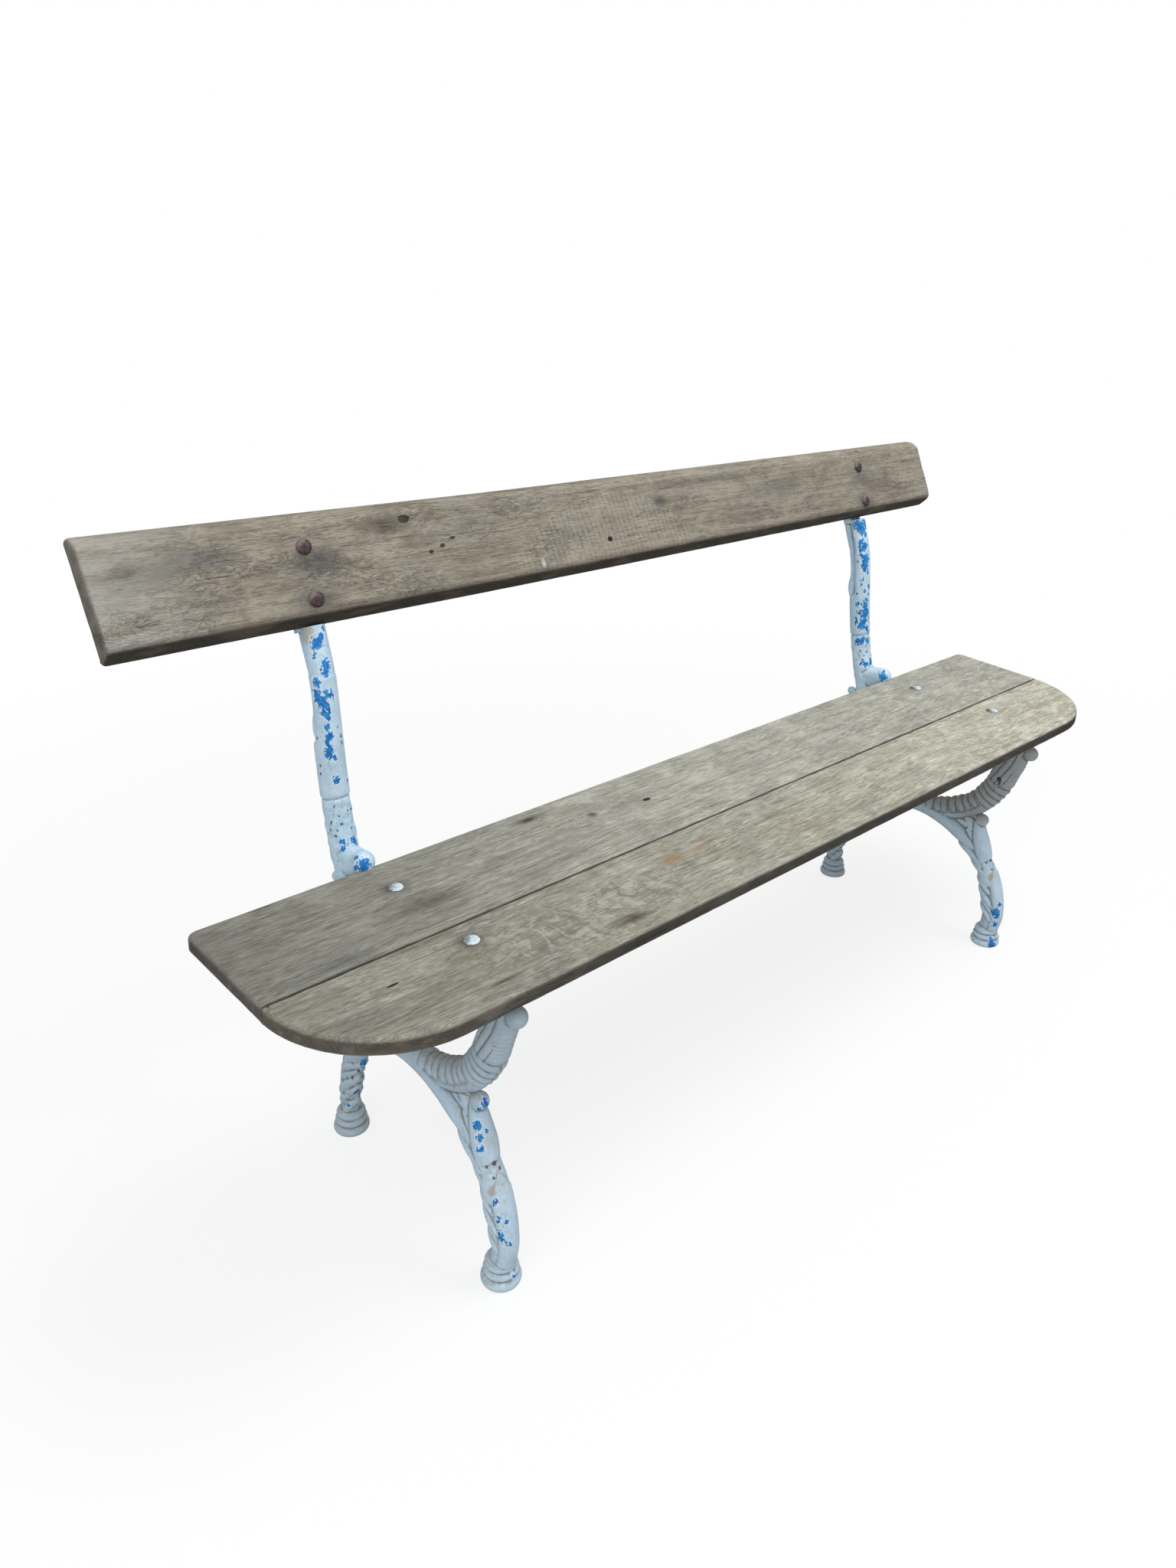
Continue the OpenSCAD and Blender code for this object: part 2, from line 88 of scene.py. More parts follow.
def placed(name, points, faces, smooth=True):
    """A new object whose mesh holds these points, given in the sizes above."""
    mesh = bpy.data.meshes.new(name)
    mesh.from_pydata(((np.asarray(points) + START) * MM).tolist(), [], faces)
    mesh.update()
    piece = bpy.data.objects.new(name, mesh)
    bpy.context.scene.collection.objects.link(piece)
    if smooth:
        mesh.shade_smooth()
    return piece


def rows_of(items, field, width, kind=float):
    """One field of all of a mesh's points or edges, as rows of numbers."""
    flat = np.empty(len(items) * width, dtype=kind)
    items.foreach_get(field, flat)
    return flat.reshape(-1, width)


def points_of(piece):
    return rows_of(piece.data.vertices, "co", 3) / MM - START


def set_points(piece, points):
    piece.data.vertices.foreach_set("co", ((points + START) * MM).ravel())
    piece.data.update()


def normals_of(piece):
    return rows_of(piece.data.vertex_normals, "vector", 3)


def edges_of(piece):
    return rows_of(piece.data.edges, "vertices", 2, np.int64)


def faces_of(piece):
    return [tuple(face.vertices) for face in piece.data.polygons]


def neighbour_mean(values, edges):
    """Mean of each point's neighbours, for one or more columns of values."""
    values = values.reshape(len(values), -1)
    count = np.bincount(edges.ravel(), minlength=len(values))
    total = np.stack([
        np.bincount(edges[:, 0], column[edges[:, 1]], len(values))
        + np.bincount(edges[:, 1], column[edges[:, 0]], len(values))
        for column in values.T
    ], axis=1)
    return total / np.maximum(count, 1)[:, None]


def settle(piece):
    """Makes the piece's modifier part of its mesh, and takes the modifier off."""
    graph = bpy.context.evaluated_depsgraph_get()
    mesh = bpy.data.meshes.new_from_object(piece.evaluated_get(graph))
    piece.modifiers.clear()
    piece.data = mesh


def reshape(piece, modifier_type, **settings):
    """Runs one modifier on the piece for good."""
    modifier = piece.modifiers.new(modifier_type.title(), modifier_type)
    for name, value in settings.items():
        setattr(modifier, name, value)
    settle(piece)


def record_on(piece, name, values):
    """Keeps one number for each point, for the materials to read."""
    layer = piece.data.attributes.new(name, "FLOAT", "POINT")
    layer.data.foreach_set("value", np.asarray(values, dtype=np.float32))


def ease(low, high, value):
    """0 below low, 1 above high, and smooth between them."""
    t = np.clip((value - low) / (high - low), 0, 1)
    return t * t * (3 - 2 * t)


def between(low, high, soft, value):
    """1 from low to high and 0 elsewhere, with soft ends."""
    return ease(low - soft, low + soft, value) * (1 - ease(high - soft, high + soft, value))


def mottle(points, scale, seed):
    """Smooth noise from -1 to 1 at points, with features about scale wide."""
    shift = Vector((seed * 17.3, seed * 5.1, seed * 9.7))
    return np.array([noise.noise(Vector(p) / scale + shift) for p in points])


def ridges(turns):
    """Rounded ridges with sharp grooves between them, from 0 to 1."""
    across = 2 * (turns - np.floor(turns)) - 1
    return np.sqrt(np.maximum(1 - across * across, 0))


# Finishes


def tone(red, green, blue):
    """A colour given as it looks, from 0 to 255, for a shader socket."""
    return tuple(
        c / 12.92 if c <= 0.04045 else ((c + 0.055) / 1.055) ** 2.4
        for c in (red / 255, green / 255, blue / 255)
    ) + (1.0,)


class Link:
    """A socket of a network, which Python expressions turn into nodes."""

    def __init__(self, network, socket):
        self.network, self.socket = network, socket

    def maths(self, operation, *others):
        return self.network.node("ShaderNodeMath", {"operation": operation}, (self, *others))

    def __add__(self, other):
        return self.maths("ADD", other)

    def __sub__(self, other):
        return self.maths("SUBTRACT", other)

    def __rsub__(self, other):
        return self.network.node("ShaderNodeMath", {"operation": "SUBTRACT"}, (other, self))

    def __mul__(self, other):
        return self.maths("MULTIPLY", other)

    def __truediv__(self, other):
        return self.maths("DIVIDE", other)

    def __pow__(self, other):
        return self.maths("POWER", other)

    def __abs__(self):
        return self.maths("ABSOLUTE")

    __radd__, __rmul__ = __add__, __mul__

    def rise(self, low, high):
        """0 below low, 1 above high, and smooth between them."""
        return self.network.node(
            "ShaderNodeMapRange", {"interpolation_type": "SMOOTHSTEP"},
            {"Value": self, "From Min": low, "From Max": high})

    def most(self, other):
        return self.maths("MAXIMUM", other)


class Network:
    """Nodes joined up from Python, in a material or in a recipe."""

    def feed(self, socket, value):
        if isinstance(value, Link):
            self.tree.links.new(value.socket, socket)
        else:
            socket.default_value = value

    def node(self, kind, settings=None, sockets=(), output=0):
        made = self.tree.nodes.new(kind)
        for name, value in (settings or {}).items():
            setattr(made, name, value)
        for key, value in sockets.items() if isinstance(sockets, dict) else enumerate(sockets):
            if value is not None:
                self.feed(made.inputs[key], value)
        return Link(self, made.outputs[output])

    def vector(self, operation, first, second=None, scale=None, output="Vector"):
        return self.node("ShaderNodeVectorMath", {"operation": operation}, {
            0: first, 1: second, "Scale": scale}, output)

    def part(self, vector, axis):
        return self.node("ShaderNodeSeparateXYZ", None, {"Vector": vector}, axis)

    def whole(self, x=0.0, y=0.0, z=0.0):
        """A vector put together from its three parts."""
        return self.node("ShaderNodeCombineXYZ", None, (x, y, z))

    def blend(self, factor, first, second):
        return self.node("ShaderNodeMix", {"data_type": "RGBA"}, {0: factor, 6: first, 7: second}, 2)

    def chance(self, number, seed):
        """An even chance from -1 to 1 for each number."""
        return self.node("FunctionNodeRandomValue", {"data_type": "FLOAT"}, {
            2: -1.0, 3: 1.0, 7: number, 8: seed}, 1)


class Finish(Network):
    """One material, put together from nodes, with the colour and the height it has so far."""

    def __init__(self, name):
        self.material = bpy.data.materials.new(name)
        self.material.use_nodes = True
        self.tree = self.material.node_tree
        self.surface = self.tree.nodes["Principled BSDF"]
        self.place = self.vector("SCALE", self.node("ShaderNodeTexCoord", output="Object"), scale=1 / MM)

    def along(self, axis):
        """How far along one axis a point of the piece lies."""
        return self.part(self.place, axis)

    def kept(self, name):
        """A number that the piece's own mesh holds for each point."""
        return self.node("ShaderNodeAttribute", {"attribute_name": name}, output="Fac")

    def cloud(self, size, stretch=(1, 1, 1), detail=2.0, roughness=0.5, swirl=0.0, shift=0.0, place=None):
        """Noise from 0 to 1 with features about size millimetres wide."""
        drawn = self.vector("MULTIPLY", place or self.place, tuple(1 / (size * s) for s in stretch))
        drawn = self.vector("ADD", drawn, (shift, shift * 1.7, shift * 0.6))
        return self.node("ShaderNodeTexNoise", None, {
            "Vector": drawn, "Scale": 1.0, "Detail": detail, "Roughness": roughness, "Distortion": swirl})

    def spot(self, centre, size, soft):
        """1 in a rounded patch about a point, fading out at its edge."""
        away = self.vector("SUBTRACT", self.place, tuple(centre))
        away = self.vector("MULTIPLY", away, tuple(1 / s for s in size))
        return 1 - self.vector("LENGTH", away, output="Value").rise(1 - soft, 1 + soft * 0.3)

    def lay(self, cover, shade):
        """Lays a shade over the colour so far."""
        self.colour = self.blend(cover, self.colour, shade)

    def blot(self, size, stretch, low, high, share, shade, **more):
        """Lays a shade, up to a share, where noise rises from low to high."""
        self.lay(self.cloud(size, (stretch, 1, 1), **more).rise(low, high) * share, shade)

    def dim(self, factor):
        self.colour = self.vector("SCALE", self.colour, scale=factor)

    def done(self, roughness, specular=0.4, metallic=0.0):
        """Joins the surface up. Height is in millimetres."""
        relief = self.node("ShaderNodeBump", None, {"Height": self.height, "Distance": MM, "Strength": 1.0})
        for name, value in (("Base Color", self.colour), ("Roughness", roughness), ("Normal", relief),
                            ("Metallic", metallic), ("Specular IOR Level", specular)):
            self.feed(self.surface.inputs[name], value)
        return self.material


class Recipe(Network):
    """Geometry Nodes that make one kind of piece, with its sizes as named inputs."""

    def __init__(self, name, sizes):
        self.tree = bpy.data.node_groups.new(name, "GeometryNodeTree")
        for label, kind in (("Geometry", "Geometry"), *sizes, ("Material", "Material")):
            self.tree.interface.new_socket(label, in_out="INPUT", socket_type="NodeSocket" + kind)
        self.tree.interface.new_socket("Geometry", in_out="OUTPUT", socket_type="NodeSocketGeometry")
        self.start = self.tree.nodes.new("NodeGroupInput")

    def given(self, label):
        return Link(self, self.start.outputs[label])

    def kept(self, name):
        return self.node("GeometryNodeInputNamedAttribute", None, {"Name": name})

    def ended(self, geometry):
        whole = self.node("GeometryNodeRealizeInstances", None, {"Geometry": geometry})
        whole = self.node("GeometryNodeSetMaterial", None, {
            "Geometry": whole, "Material": self.given("Material")})
        self.tree.links.new(whole.socket, self.tree.nodes.new("NodeGroupOutput").inputs[0])
        return self

    def run_on(self, piece, **sizes):
        """Turns the piece into what the recipe makes of it, as a plain mesh."""
        modifier = piece.modifiers.new("recipe", "NODES")
        modifier.node_group = self.tree
        for socket in self.tree.interface.items_tree:
            label = socket.name.lower().replace(" ", "_")
            if socket.in_out == "INPUT" and label in sizes:
                modifier[socket.identifier] = sizes[label]
        settle(piece)


def chipped_paint():
    """Pale blue-white paint over cast iron, chipped to an older bright blue coat."""
    f = Finish("chipped_paint")
    hollow, topside, tan_spot, soot_and_shade, near_chip = (
        f.kept(name) for name in ("hollow", "topside", "tan", "grime", "chip"))
    low, leg = 1 - f.along(2).rise(330, 470), 1 - f.along(2).rise(200, 300)
    broad, fine = f.cloud(38, shift=3), f.cloud(6, detail=4, roughness=0.65, shift=8)
    f.colour = f.blend(broad.rise(0.35, 0.65), tone(180, 208, 226), tone(194, 219, 236))
    f.lay(fine.rise(0.45, 0.75) * 0.5, tone(222, 236, 244))
    # Painted light: the lower legs paler than the shaded bow above them
    f.lay(leg * 0.25, tone(208, 224, 234))
    streaks = f.cloud(4.5, (1, 1, 6), detail=4, roughness=0.6, shift=21).rise(0.54, 0.74)
    f.lay(streaks * 0.32, tone(134, 146, 150))
    # Dirt and painted shade under the seat, greying the paint there
    f.lay(soot_and_shade * (0.55 + fine * 0.6), tone(158, 156, 150))
    # Dark dirt in the hollows and below the seat, partly painted shade in the grooves and under the seat
    grime = (hollow * 0.8 + (fine - 0.5) * 0.7 + low * 0.12 + soot_and_shade * 0.14).rise(0.05, 0.75)
    f.lay(grime * 0.72, tone(88, 92, 92))
    tan = (topside + (broad - 0.5) * 1.2).rise(0.25, 0.8) * low * (fine * 1.2).rise(0.35, 0.75)
    f.lay(tan * 0.5, tone(150, 140, 120))
    f.lay((tan_spot + (fine - 0.5) * 0.8).rise(0.3, 0.6) * 0.7, tone(176, 164, 142))
    torn = f.cloud(5.5, (0.8, 0.8, 1.2), detail=2, roughness=0.55, swirl=0.8, shift=5) - 0.5
    ragged = f.cloud(2.2, detail=3, roughness=0.6, shift=9) - 0.5
    chip_field = near_chip + (torn * 1.7 + ragged * 0.9) * near_chip.rise(0.02, 0.4)
    f.lay(chip_field.rise(0.08, 0.36) * 0.5, tone(226, 241, 250))
    chip, top_coat = chip_field.rise(0.47, 0.5), f.colour
    f.colour = tone(14, 108, 186)
    f.blot(6, 1, 0.4, 0.62, 1, tone(28, 144, 212), detail=3, shift=14)
    f.blot(2.4, 1, 0.62, 0.7, 0.8, tone(34, 48, 84), detail=2, shift=17)
    f.colour = f.blend(chip, top_coat, f.colour)
    small = f.cloud(2.4, detail=2, roughness=0.6, shift=30).rise(0.67, 0.7)
    small = small * f.cloud(34, shift=33).rise(0.4, 0.56)
    speck = small.most((f.kept("speck") + ragged * 0.9).rise(0.46, 0.52))
    f.lay(speck * 0.85, tone(58, 60, 78))
    f.height = chip * -0.3 + f.cloud(1.6, detail=3, shift=2) * 0.14 + fine * 0.26 - speck * 0.15
    return f.done(0.5 + chip * 0.1 + grime * 0.2)


def grain_place(f, seed, side, knots):
    """The place a finish is drawn at, once the grain sways and flows round its knots."""
    along, across = f.along(0), f.along(side)
    shift = (f.cloud(150, (2.4, 1, 1), detail=1, shift=seed) - 0.5) * 26
    shift = shift + (f.cloud(24, (3.2, 1, 1), detail=1, shift=seed + 2) - 0.5) * 1.8
    for knot_along, knot_across, radius, stretch in knots:
        v = across - knot_across
        u = (along - knot_along) * (1 / stretch)
        away = (u * u + v * v).most(radius ** 2)
        shift = shift - v * radius ** 2 / away
    return f.vector("ADD", f.place, f.whole(0.0, shift, shift))


def weathered_oak(name, tones, seed, origin=START, turn=0.0, side=1, knots=(), wavy=0.0):
    """Old outdoor oak: silvered threads, dark pores, figure in broad bands, and blotches."""
    pale, mid, brown, dark = (tone(*shade) for shade in tones)
    f = Finish(name)
    f.place = f.node("ShaderNodeMapping", {"vector_type": "TEXTURE"}, {
        "Vector": f.place, "Location": tuple(origin), "Rotation": (math.radians(-turn), 0, 0)})
    grain = grain_place(f, seed, side, knots)
    if wavy:
        wave = (f.cloud(7, (2.2, 1, 1), detail=2, shift=seed + 3) - 0.5) * wavy
        grain = f.vector("ADD", grain, f.whole(0.0, wave, wave))

    def grained(size, stretch, shift, detail=2, roughness=0.5):
        return f.cloud(size, (stretch, 1, 1), detail, roughness, shift=seed + shift, place=grain)

    bands = grained(6.5, 42, 7, 3, 0.55)
    f.colour = f.blend(bands.rise(0.34, 0.62), brown, mid)
    f.lay(grained(62, 2.6, 9, 4, 0.6).rise(0.5, 0.68) * 0.5, brown)
    f.lay(grained(48, 2.2, 12, 3, 0.6).rise(0.52, 0.7) * 0.4, tone(130, 134, 132))
    haze = f.cloud(34, (1.5, 1, 1), detail=4, roughness=0.62, swirl=0.5, shift=seed + 23)
    f.lay(haze.rise(0.5, 0.68) * 0.28, pale)
    f.lay((1 - haze.rise(0.34, 0.48)) * 0.22, dark)
    patchy = f.cloud(26, (3.5, 1, 1), detail=2, shift=seed + 15).rise(0.3, 0.66)
    threads, coarse = grained(0.95, 34, 1, 2, 0.6), grained(2.0, 30, 27, 3, 0.65)
    f.bright = threads.rise(0.46, 0.66).most(coarse.rise(0.56, 0.63) * 0.65)
    f.lay(f.bright * (patchy * 0.45 + 0.22), pale)
    pores = grained(0.7, 22, 4, 2, 0.55).rise(0.53, 0.7)
    f.lay(pores * (0.68 - patchy * 0.2), dark)
    checks = grained(2.1, 38, 19).rise(0.68, 0.74)
    f.lay(checks * 0.6, dark)
    f.height = f.bright * 0.12 - pores * 0.2 - checks * 0.45 + bands * 0.4
    return f


def darkened_and_shaded_sides(f, shade, streak):
    """Dark sides of a plank, damp and dirty and partly painted shade, with paler threads where they are
    worn.
    """
    face = f.colour
    f.colour = shade
    f.lay(f.bright * 0.35, streak)
    f.blot(16, 3, 0.5, 0.7, 0.4, streak, detail=3, shift=44)
    f.blot(34, 4, 0.48, 0.62, 0.55, tone(52, 48, 46), detail=3, shift=48)
    f.blot(26, 3, 0.54, 0.66, 0.5, tone(112, 96, 80), detail=3, shift=52)
    f.colour = f.blend(f.kept("edge") * 0.94, face, f.colour)


HOLE, STAIN, RUST, IRON = tone(34, 28, 22), tone(88, 80, 70), tone(168, 128, 88), tone(92, 89, 86)
# The first tone here darkens the sides of the seat planks: dirt and damp, and painted shade
SOOT_AND_SHADE, PALE_SCAR = tone(76, 71, 64), tone(206, 210, 212)


def marked(f, marks):
    """Adds stains and holes, each from its place along and across the plank, its half length,
    half width, depth, strength and tone."""
    for along, across, half_long, half_wide, depth, strength, shade in marks:
        hole = shade is HOLE
        patch = f.spot((along, across, 0), (half_long, half_wide, 1e4), 0.9 if hole else 0.8)
        torn = f.cloud(3 if hole else 6, (2, 1, 1), detail=4, roughness=0.65, shift=along / 50)
        patch = (patch + torn - 0.5).rise(0.4, 0.6) if hole else patch * (0.35 + torn * 1.2)
        f.lay(patch * strength, shade)
        f.height = f.height - patch * depth


def flecked(f, region):
    """Silver ribbons that cross the grain, where the saw met the rays of the oak."""
    rows = (f.along(0) + f.along(1) * 0.55) * (1 / 50)
    rows = rows + (f.cloud(75, detail=1, shift=6) - 0.5) * 3.2
    rows = rows + (f.cloud(13, detail=3, shift=16) - 0.5) * 0.55
    off = abs(rows.maths("FRACT") - 0.5)
    width = f.cloud(28, detail=2, shift=9) * 0.22 - 0.035
    ribbon = 1 - (off - width).rise(-0.025, 0.035)
    ribbon = ribbon * region * (0.4 + f.bright * 0.6)
    hollow = (1 - (off - (width + 0.09)).rise(-0.02, 0.06)) * region
    haze = f.cloud(17, detail=4, roughness=0.6, swirl=0.8, shift=29)
    f.lay(hollow * 0.4, tone(124, 119, 106))
    f.lay(haze.rise(0.5, 0.64) * region * 0.5, tone(206, 202, 182))
    f.lay((1 - haze.rise(0.36, 0.46)) * region * 0.4, tone(124, 121, 112))
    f.lay(ribbon * 0.55, tone(216, 215, 203))
    f.height = f.height + ribbon * 0.25


def bleached_and_lit(f, start, end, low, span):
    """Pale lichen towards the seat's right end, where the weather reaches it most; and the seat painted
    darker at its left end and paler towards its right, as painted light for the light and sheen that end
    catches.
    """
    lichen = f.cloud(15, (1.7, 1, 1), detail=4, roughness=0.65, shift=61).rise(0.5, 0.66)
    f.lay(lichen * f.along(0).rise(-300, 700) * (f.bright * 0.5 + 0.2), tone(208, 206, 188))
    # Painted light and shade: the plank darker at its left end and paler towards its right
    f.dim(f.along(0).rise(start, end) * span + low)


def front_seat_oak():
    f = weathered_oak(
        "front_seat_oak", ((222, 220, 204), (160, 157, 143), (136, 131, 112), (84, 80, 66)), 2)
    near = f.spot((-430, -85, SEAT_HEIGHT), (210, 72, 500), 0.6)
    far = f.spot((470, -60, SEAT_HEIGHT), (190, 90, 500), 0.8)
    flecked(f, near.most(far * 0.45))
    marked(f, [
        (-259, -49, 20, 12, 0, 0.75, RUST), (-208, -53, 20, 6, 0.1, 0.6, RUST),
        (-681, -52, 10, 2.2, 0.6, 1.2, HOLE), (-398, -118, 30, 12, 0.2, 0.9, STAIN),
        (-586, -120, 34, 4, 0.4, 0.8, STAIN), (-CASTING_X, -FRONT_BOLT_Y, 22, 17, 0.1, 0.75, STAIN),
        (CASTING_X, -FRONT_BOLT_Y, 22, 17, 0.1, 0.5, STAIN),
    ])
    bleached_and_lit(f, -1000, 900, 0.66, 0.66)
    darkened_and_shaded_sides(f, SOOT_AND_SHADE, tone(136, 129, 116))
    # The dark sides darker still along all but the left end of the plank, and most at its right end
    darker_sides = f.along(0).rise(-700, -450) * 0.42 + f.along(0).rise(200, 800) * 0.2
    f.dim(1 - f.kept("edge") * darker_sides)
    return f.done(0.72, 0.3)


def rear_seat_oak():
    f = weathered_oak(
        "rear_seat_oak", ((216, 214, 200), (158, 157, 146), (138, 135, 122), (86, 83, 74)), 5,
        knots=((-252, 108, 9, 3), (-331, 152, 6, 2.5)))
    marked(f, [
        (-331, 152, 11, 5.6, 1.6, 1.2, HOLE), (-331, 152, 34, 10, 0.3, 0.8, STAIN),
        (-159, 95, 10, 5, 1.5, 1.4, HOLE), (-252, 108, 10, 8, 0.4, 0.9, STAIN),
        (-709, 172, 20, 2.4, 0.2, 0.7, STAIN), (-CASTING_X, REAR_BOLT_Y, 22, 17, 0.1, 0.7, STAIN),
        (CASTING_X, REAR_BOLT_Y, 20, 15, 0.1, 0.4, STAIN), (-560, 60, 70, 16, 0.1, 0.6, STAIN),
    ])
    bleached_and_lit(f, -900, 0, 0.57, 0.51)
    darkened_and_shaded_sides(f, SOOT_AND_SHADE, tone(136, 130, 118))
    return f.done(0.72, 0.3)


def back_oak():
    f = weathered_oak(
        "back_oak", ((182, 174, 157), (149, 141, 127), (124, 115, 101), (62, 55, 46)), 9,
        START + (0, BACK_Y, BACK_Z), RECLINE, 2, ((-440, 93, 12, 2.5),), 2.2)
    along, up = f.along(0), f.along(2)
    arch = (along + 75) * (1 / 150)
    sawn_part = 1 - (up + arch * arch * 45).rise(86, 100)
    sawn_part = sawn_part * (1 - abs(along + 80).rise(160, 190))
    teeth = along * (1 / 9.6) + up * 0.014 + f.cloud(60, shift=4) * 0.5
    teeth = abs(teeth.maths("FRACT") - 0.5).rise(0.12, 0.42)
    scored = teeth * sawn_part * (0.35 + f.cloud(12, (0.5, 1, 2), shift=12))
    f.lay(scored * 0.2, tone(190, 182, 164))
    curl = f.cloud(13, (2.6, 1, 1), detail=5, roughness=0.68, swirl=1.4, shift=71)
    curl = (1 - abs(curl - 0.5).rise(0.004, 0.03)) * f.cloud(55, (2, 1, 1), shift=74).rise(0.42, 0.6)
    f.lay(curl * (1 - along.rise(-560, 200) * 0.7) * 0.5, tone(70, 62, 54))
    f.height = f.height + scored * 0.3 - curl * 0.25
    back_marks(f)
    end = (1 - along.rise(-850, -640)) * f.cloud(20, (4, 1, 1), detail=3, shift=51).rise(0.3, 0.6)
    f.lay(end * 0.6, tone(180, 178, 172))
    darkened_and_shaded_sides(f, tone(50, 43, 36), tone(96, 84, 68))
    return f.done(0.74, 0.3)


def back_marks(f):
    """Nail holes, a knot, and the blue-black stains that iron leaves in oak."""
    f.place = f.whole(f.along(0), f.along(2), f.along(1))
    marked(f, [
        (-422, 95, 12, 7, 1.2, 1.4, HOLE), (-392, 48, 5, 3.4, 0.8, 0.9, HOLE),
        (-373, 54, 5.6, 3.4, 0.8, 0.9, HOLE), (-355, 62, 7, 3, 0.8, 0.8, HOLE),
        (-79, 25, 6.5, 5.5, 1.4, 1.4, HOLE), (42, 69, 18, 10, 0.1, 0.9, IRON),
        (-213, 8, 4.5, 7.5, 0, 0.8, PALE_SCAR), (-449, 91, 44, 15, 0.2, 0.8, STAIN),
        (-CASTING_X + 12, BACK_BOLT_HIGH - 20, 40, 20, 0, 0.9, IRON),
        (-CASTING_X, BACK_BOLT_LOW - 2, 36, 18, 0, 0.8, IRON),
        (CASTING_X, BACK_BOLT_HIGH - 20, 36, 18, 0, 0.7, IRON),
        (CASTING_X, BACK_BOLT_LOW, 34, 16, 0, 0.7, IRON),
        (-770, 70, 60, 22, 0.1, 0.7, STAIN), (-700, 80, 60, 18, 0.1, 0.7, IRON),
        (330, 60, 90, 22, 0, 0.5, IRON), (620, 40, 70, 20, 0, 0.5, STAIN),
        (120, 92, 120, 10, 0, 0.4, IRON),
    ])


def worn_bolt_paint():
    """Old white paint on the seat bolts, worn through on one side to grey iron and rust, and that side also
    painted darker, as painted shade on each domed head.
    """
    f = Finish("worn_bolt_paint")
    rough = f.cloud(3.4, detail=4, roughness=0.65, shift=4)
    # The upper left side of each head is worn through and also painted darker, as painted shade on the dome
    worn = f.kept("rubbed") * 0.85 + (rough - 0.5) * 1.4
    f.colour = f.blend(worn.rise(-0.15, 0.2), tone(206, 221, 225), tone(158, 174, 182))
    f.lay(worn.rise(0.2, 0.34), tone(120, 122, 124))
    f.lay(worn.rise(0.5, 0.62), tone(76, 70, 64))
    f.blot(5, 1, 0.62, 0.7, 0.5, tone(122, 150, 138), detail=2, shift=31)
    f.height = rough * 0.5
    return f.done(0.45 + rough * 0.25)


def rusted_bolt():
    """Dark brown-purple rust on the back bolts, with a painted highlight towards the upper left of each
    head.
    """
    f = Finish("rusted_bolt")
    rust = f.cloud(4.5, detail=4, roughness=0.65, shift=7)
    f.colour = f.blend(rust.rise(0.36, 0.66), tone(52, 38, 38), tone(82, 64, 63))
    # A painted highlight, paler towards the upper left of each head
    f.lay((f.kept("rubbed") + (rust - 0.5) * 0.9).rise(0.1, 0.5) * 0.5, tone(142, 126, 124))
    f.height = rust * 0.5
    return f.done(0.46 + rust * 0.2)


def dull_steel():
    """Lightly rusted washers and nuts."""
    f = Finish("dull_steel")
    rust = f.cloud(4, detail=4, roughness=0.6, shift=11)
    f.colour = f.blend(rust.rise(0.4, 0.62), tone(112, 104, 98), tone(98, 66, 48))
    f.height = rust * 0.25
    return f.done(0.45 + rust * 0.4, 0.5, 1 - rust.rise(0.4, 0.6))


# The oak planks

# Size of the small faces that a plank's surface is cut into, and rings of points on an arris
FACET, ARRIS_RINGS = 9.0, 7


def arc(centre, radius, start, end, steps):
    angles = np.radians(np.linspace(start, end, steps + 1))
    return [(centre[0] + radius * math.cos(a), centre[1] + radius * math.sin(a)) for a in angles]


def inset(outline, margins):
    """An outline drawn in by its own margin along each edge, met at the corners."""
    outline = np.array(outline, dtype=float)
    moved = []
    for i, corner in enumerate(outline):
        u = corner - outline[i - 1]
        v = outline[(i + 1) % len(outline)] - corner
        u, v = u / np.linalg.norm(u), v / np.linalg.norm(v)
        inward = np.array([[-u[1], u[0]], [-v[1], v[0]]])
        wanted = np.array([margins[i - 1], margins[i]])
        if abs(np.linalg.det(inward)) < 0.02:
            moved.append(corner + inward[0] * wanted.mean())
        else:
            moved.append(corner + np.linalg.solve(inward, wanted))
    return np.array(moved)


def seat_outline():
    rear_corner_y = SEAT_REAR_Y - REAR_CORNER_R
    slant = math.radians(RIGHT_SLANT)
    front_corner_y = SEAT_FRONT_Y + FRONT_RIGHT_R
    rear_corner_x = SEAT_RIGHT + rear_corner_y * math.tan(slant) - REAR_CORNER_R / math.cos(slant)
    front_corner_x = SEAT_RIGHT + front_corner_y * math.tan(slant) - FRONT_RIGHT_R / math.cos(slant)
    return (
        arc((FRONT_LEFT_R - SEAT_LEFT, SEAT_FRONT_Y + FRONT_LEFT_R), FRONT_LEFT_R, 180, 270, 40)
        + arc((front_corner_x, front_corner_y), FRONT_RIGHT_R, 270, 360 - RIGHT_SLANT, 40)
        + arc((rear_corner_x, rear_corner_y), REAR_CORNER_R, -RIGHT_SLANT, 90, 8)
        + arc((REAR_CORNER_R - SEAT_LEFT, rear_corner_y), REAR_CORNER_R, 90, 180, 8)
    )


def kept_side(outline, side):
    """The part of the seat's outline before or behind the seam, and where its seam edge is."""
    line = side * SEAM_GAP / 2
    kept = []
    for i, (x, y) in enumerate(outline):
        next_x, next_y = outline[(i + 1) % len(outline)]
        if (y - line) * side > 0:
            kept.append((x, y))
        if (y - line) * (next_y - line) < 0:
            share = (line - y) / (next_y - y)
            kept.append((x + share * (next_x - x), line))
    on_seam = [
        abs(kept[i][1] - line) < 1e-6 and abs(kept[(i + 1) % len(kept)][1] - line) < 1e-6
        for i in range(len(kept))
    ]
    return kept, on_seam


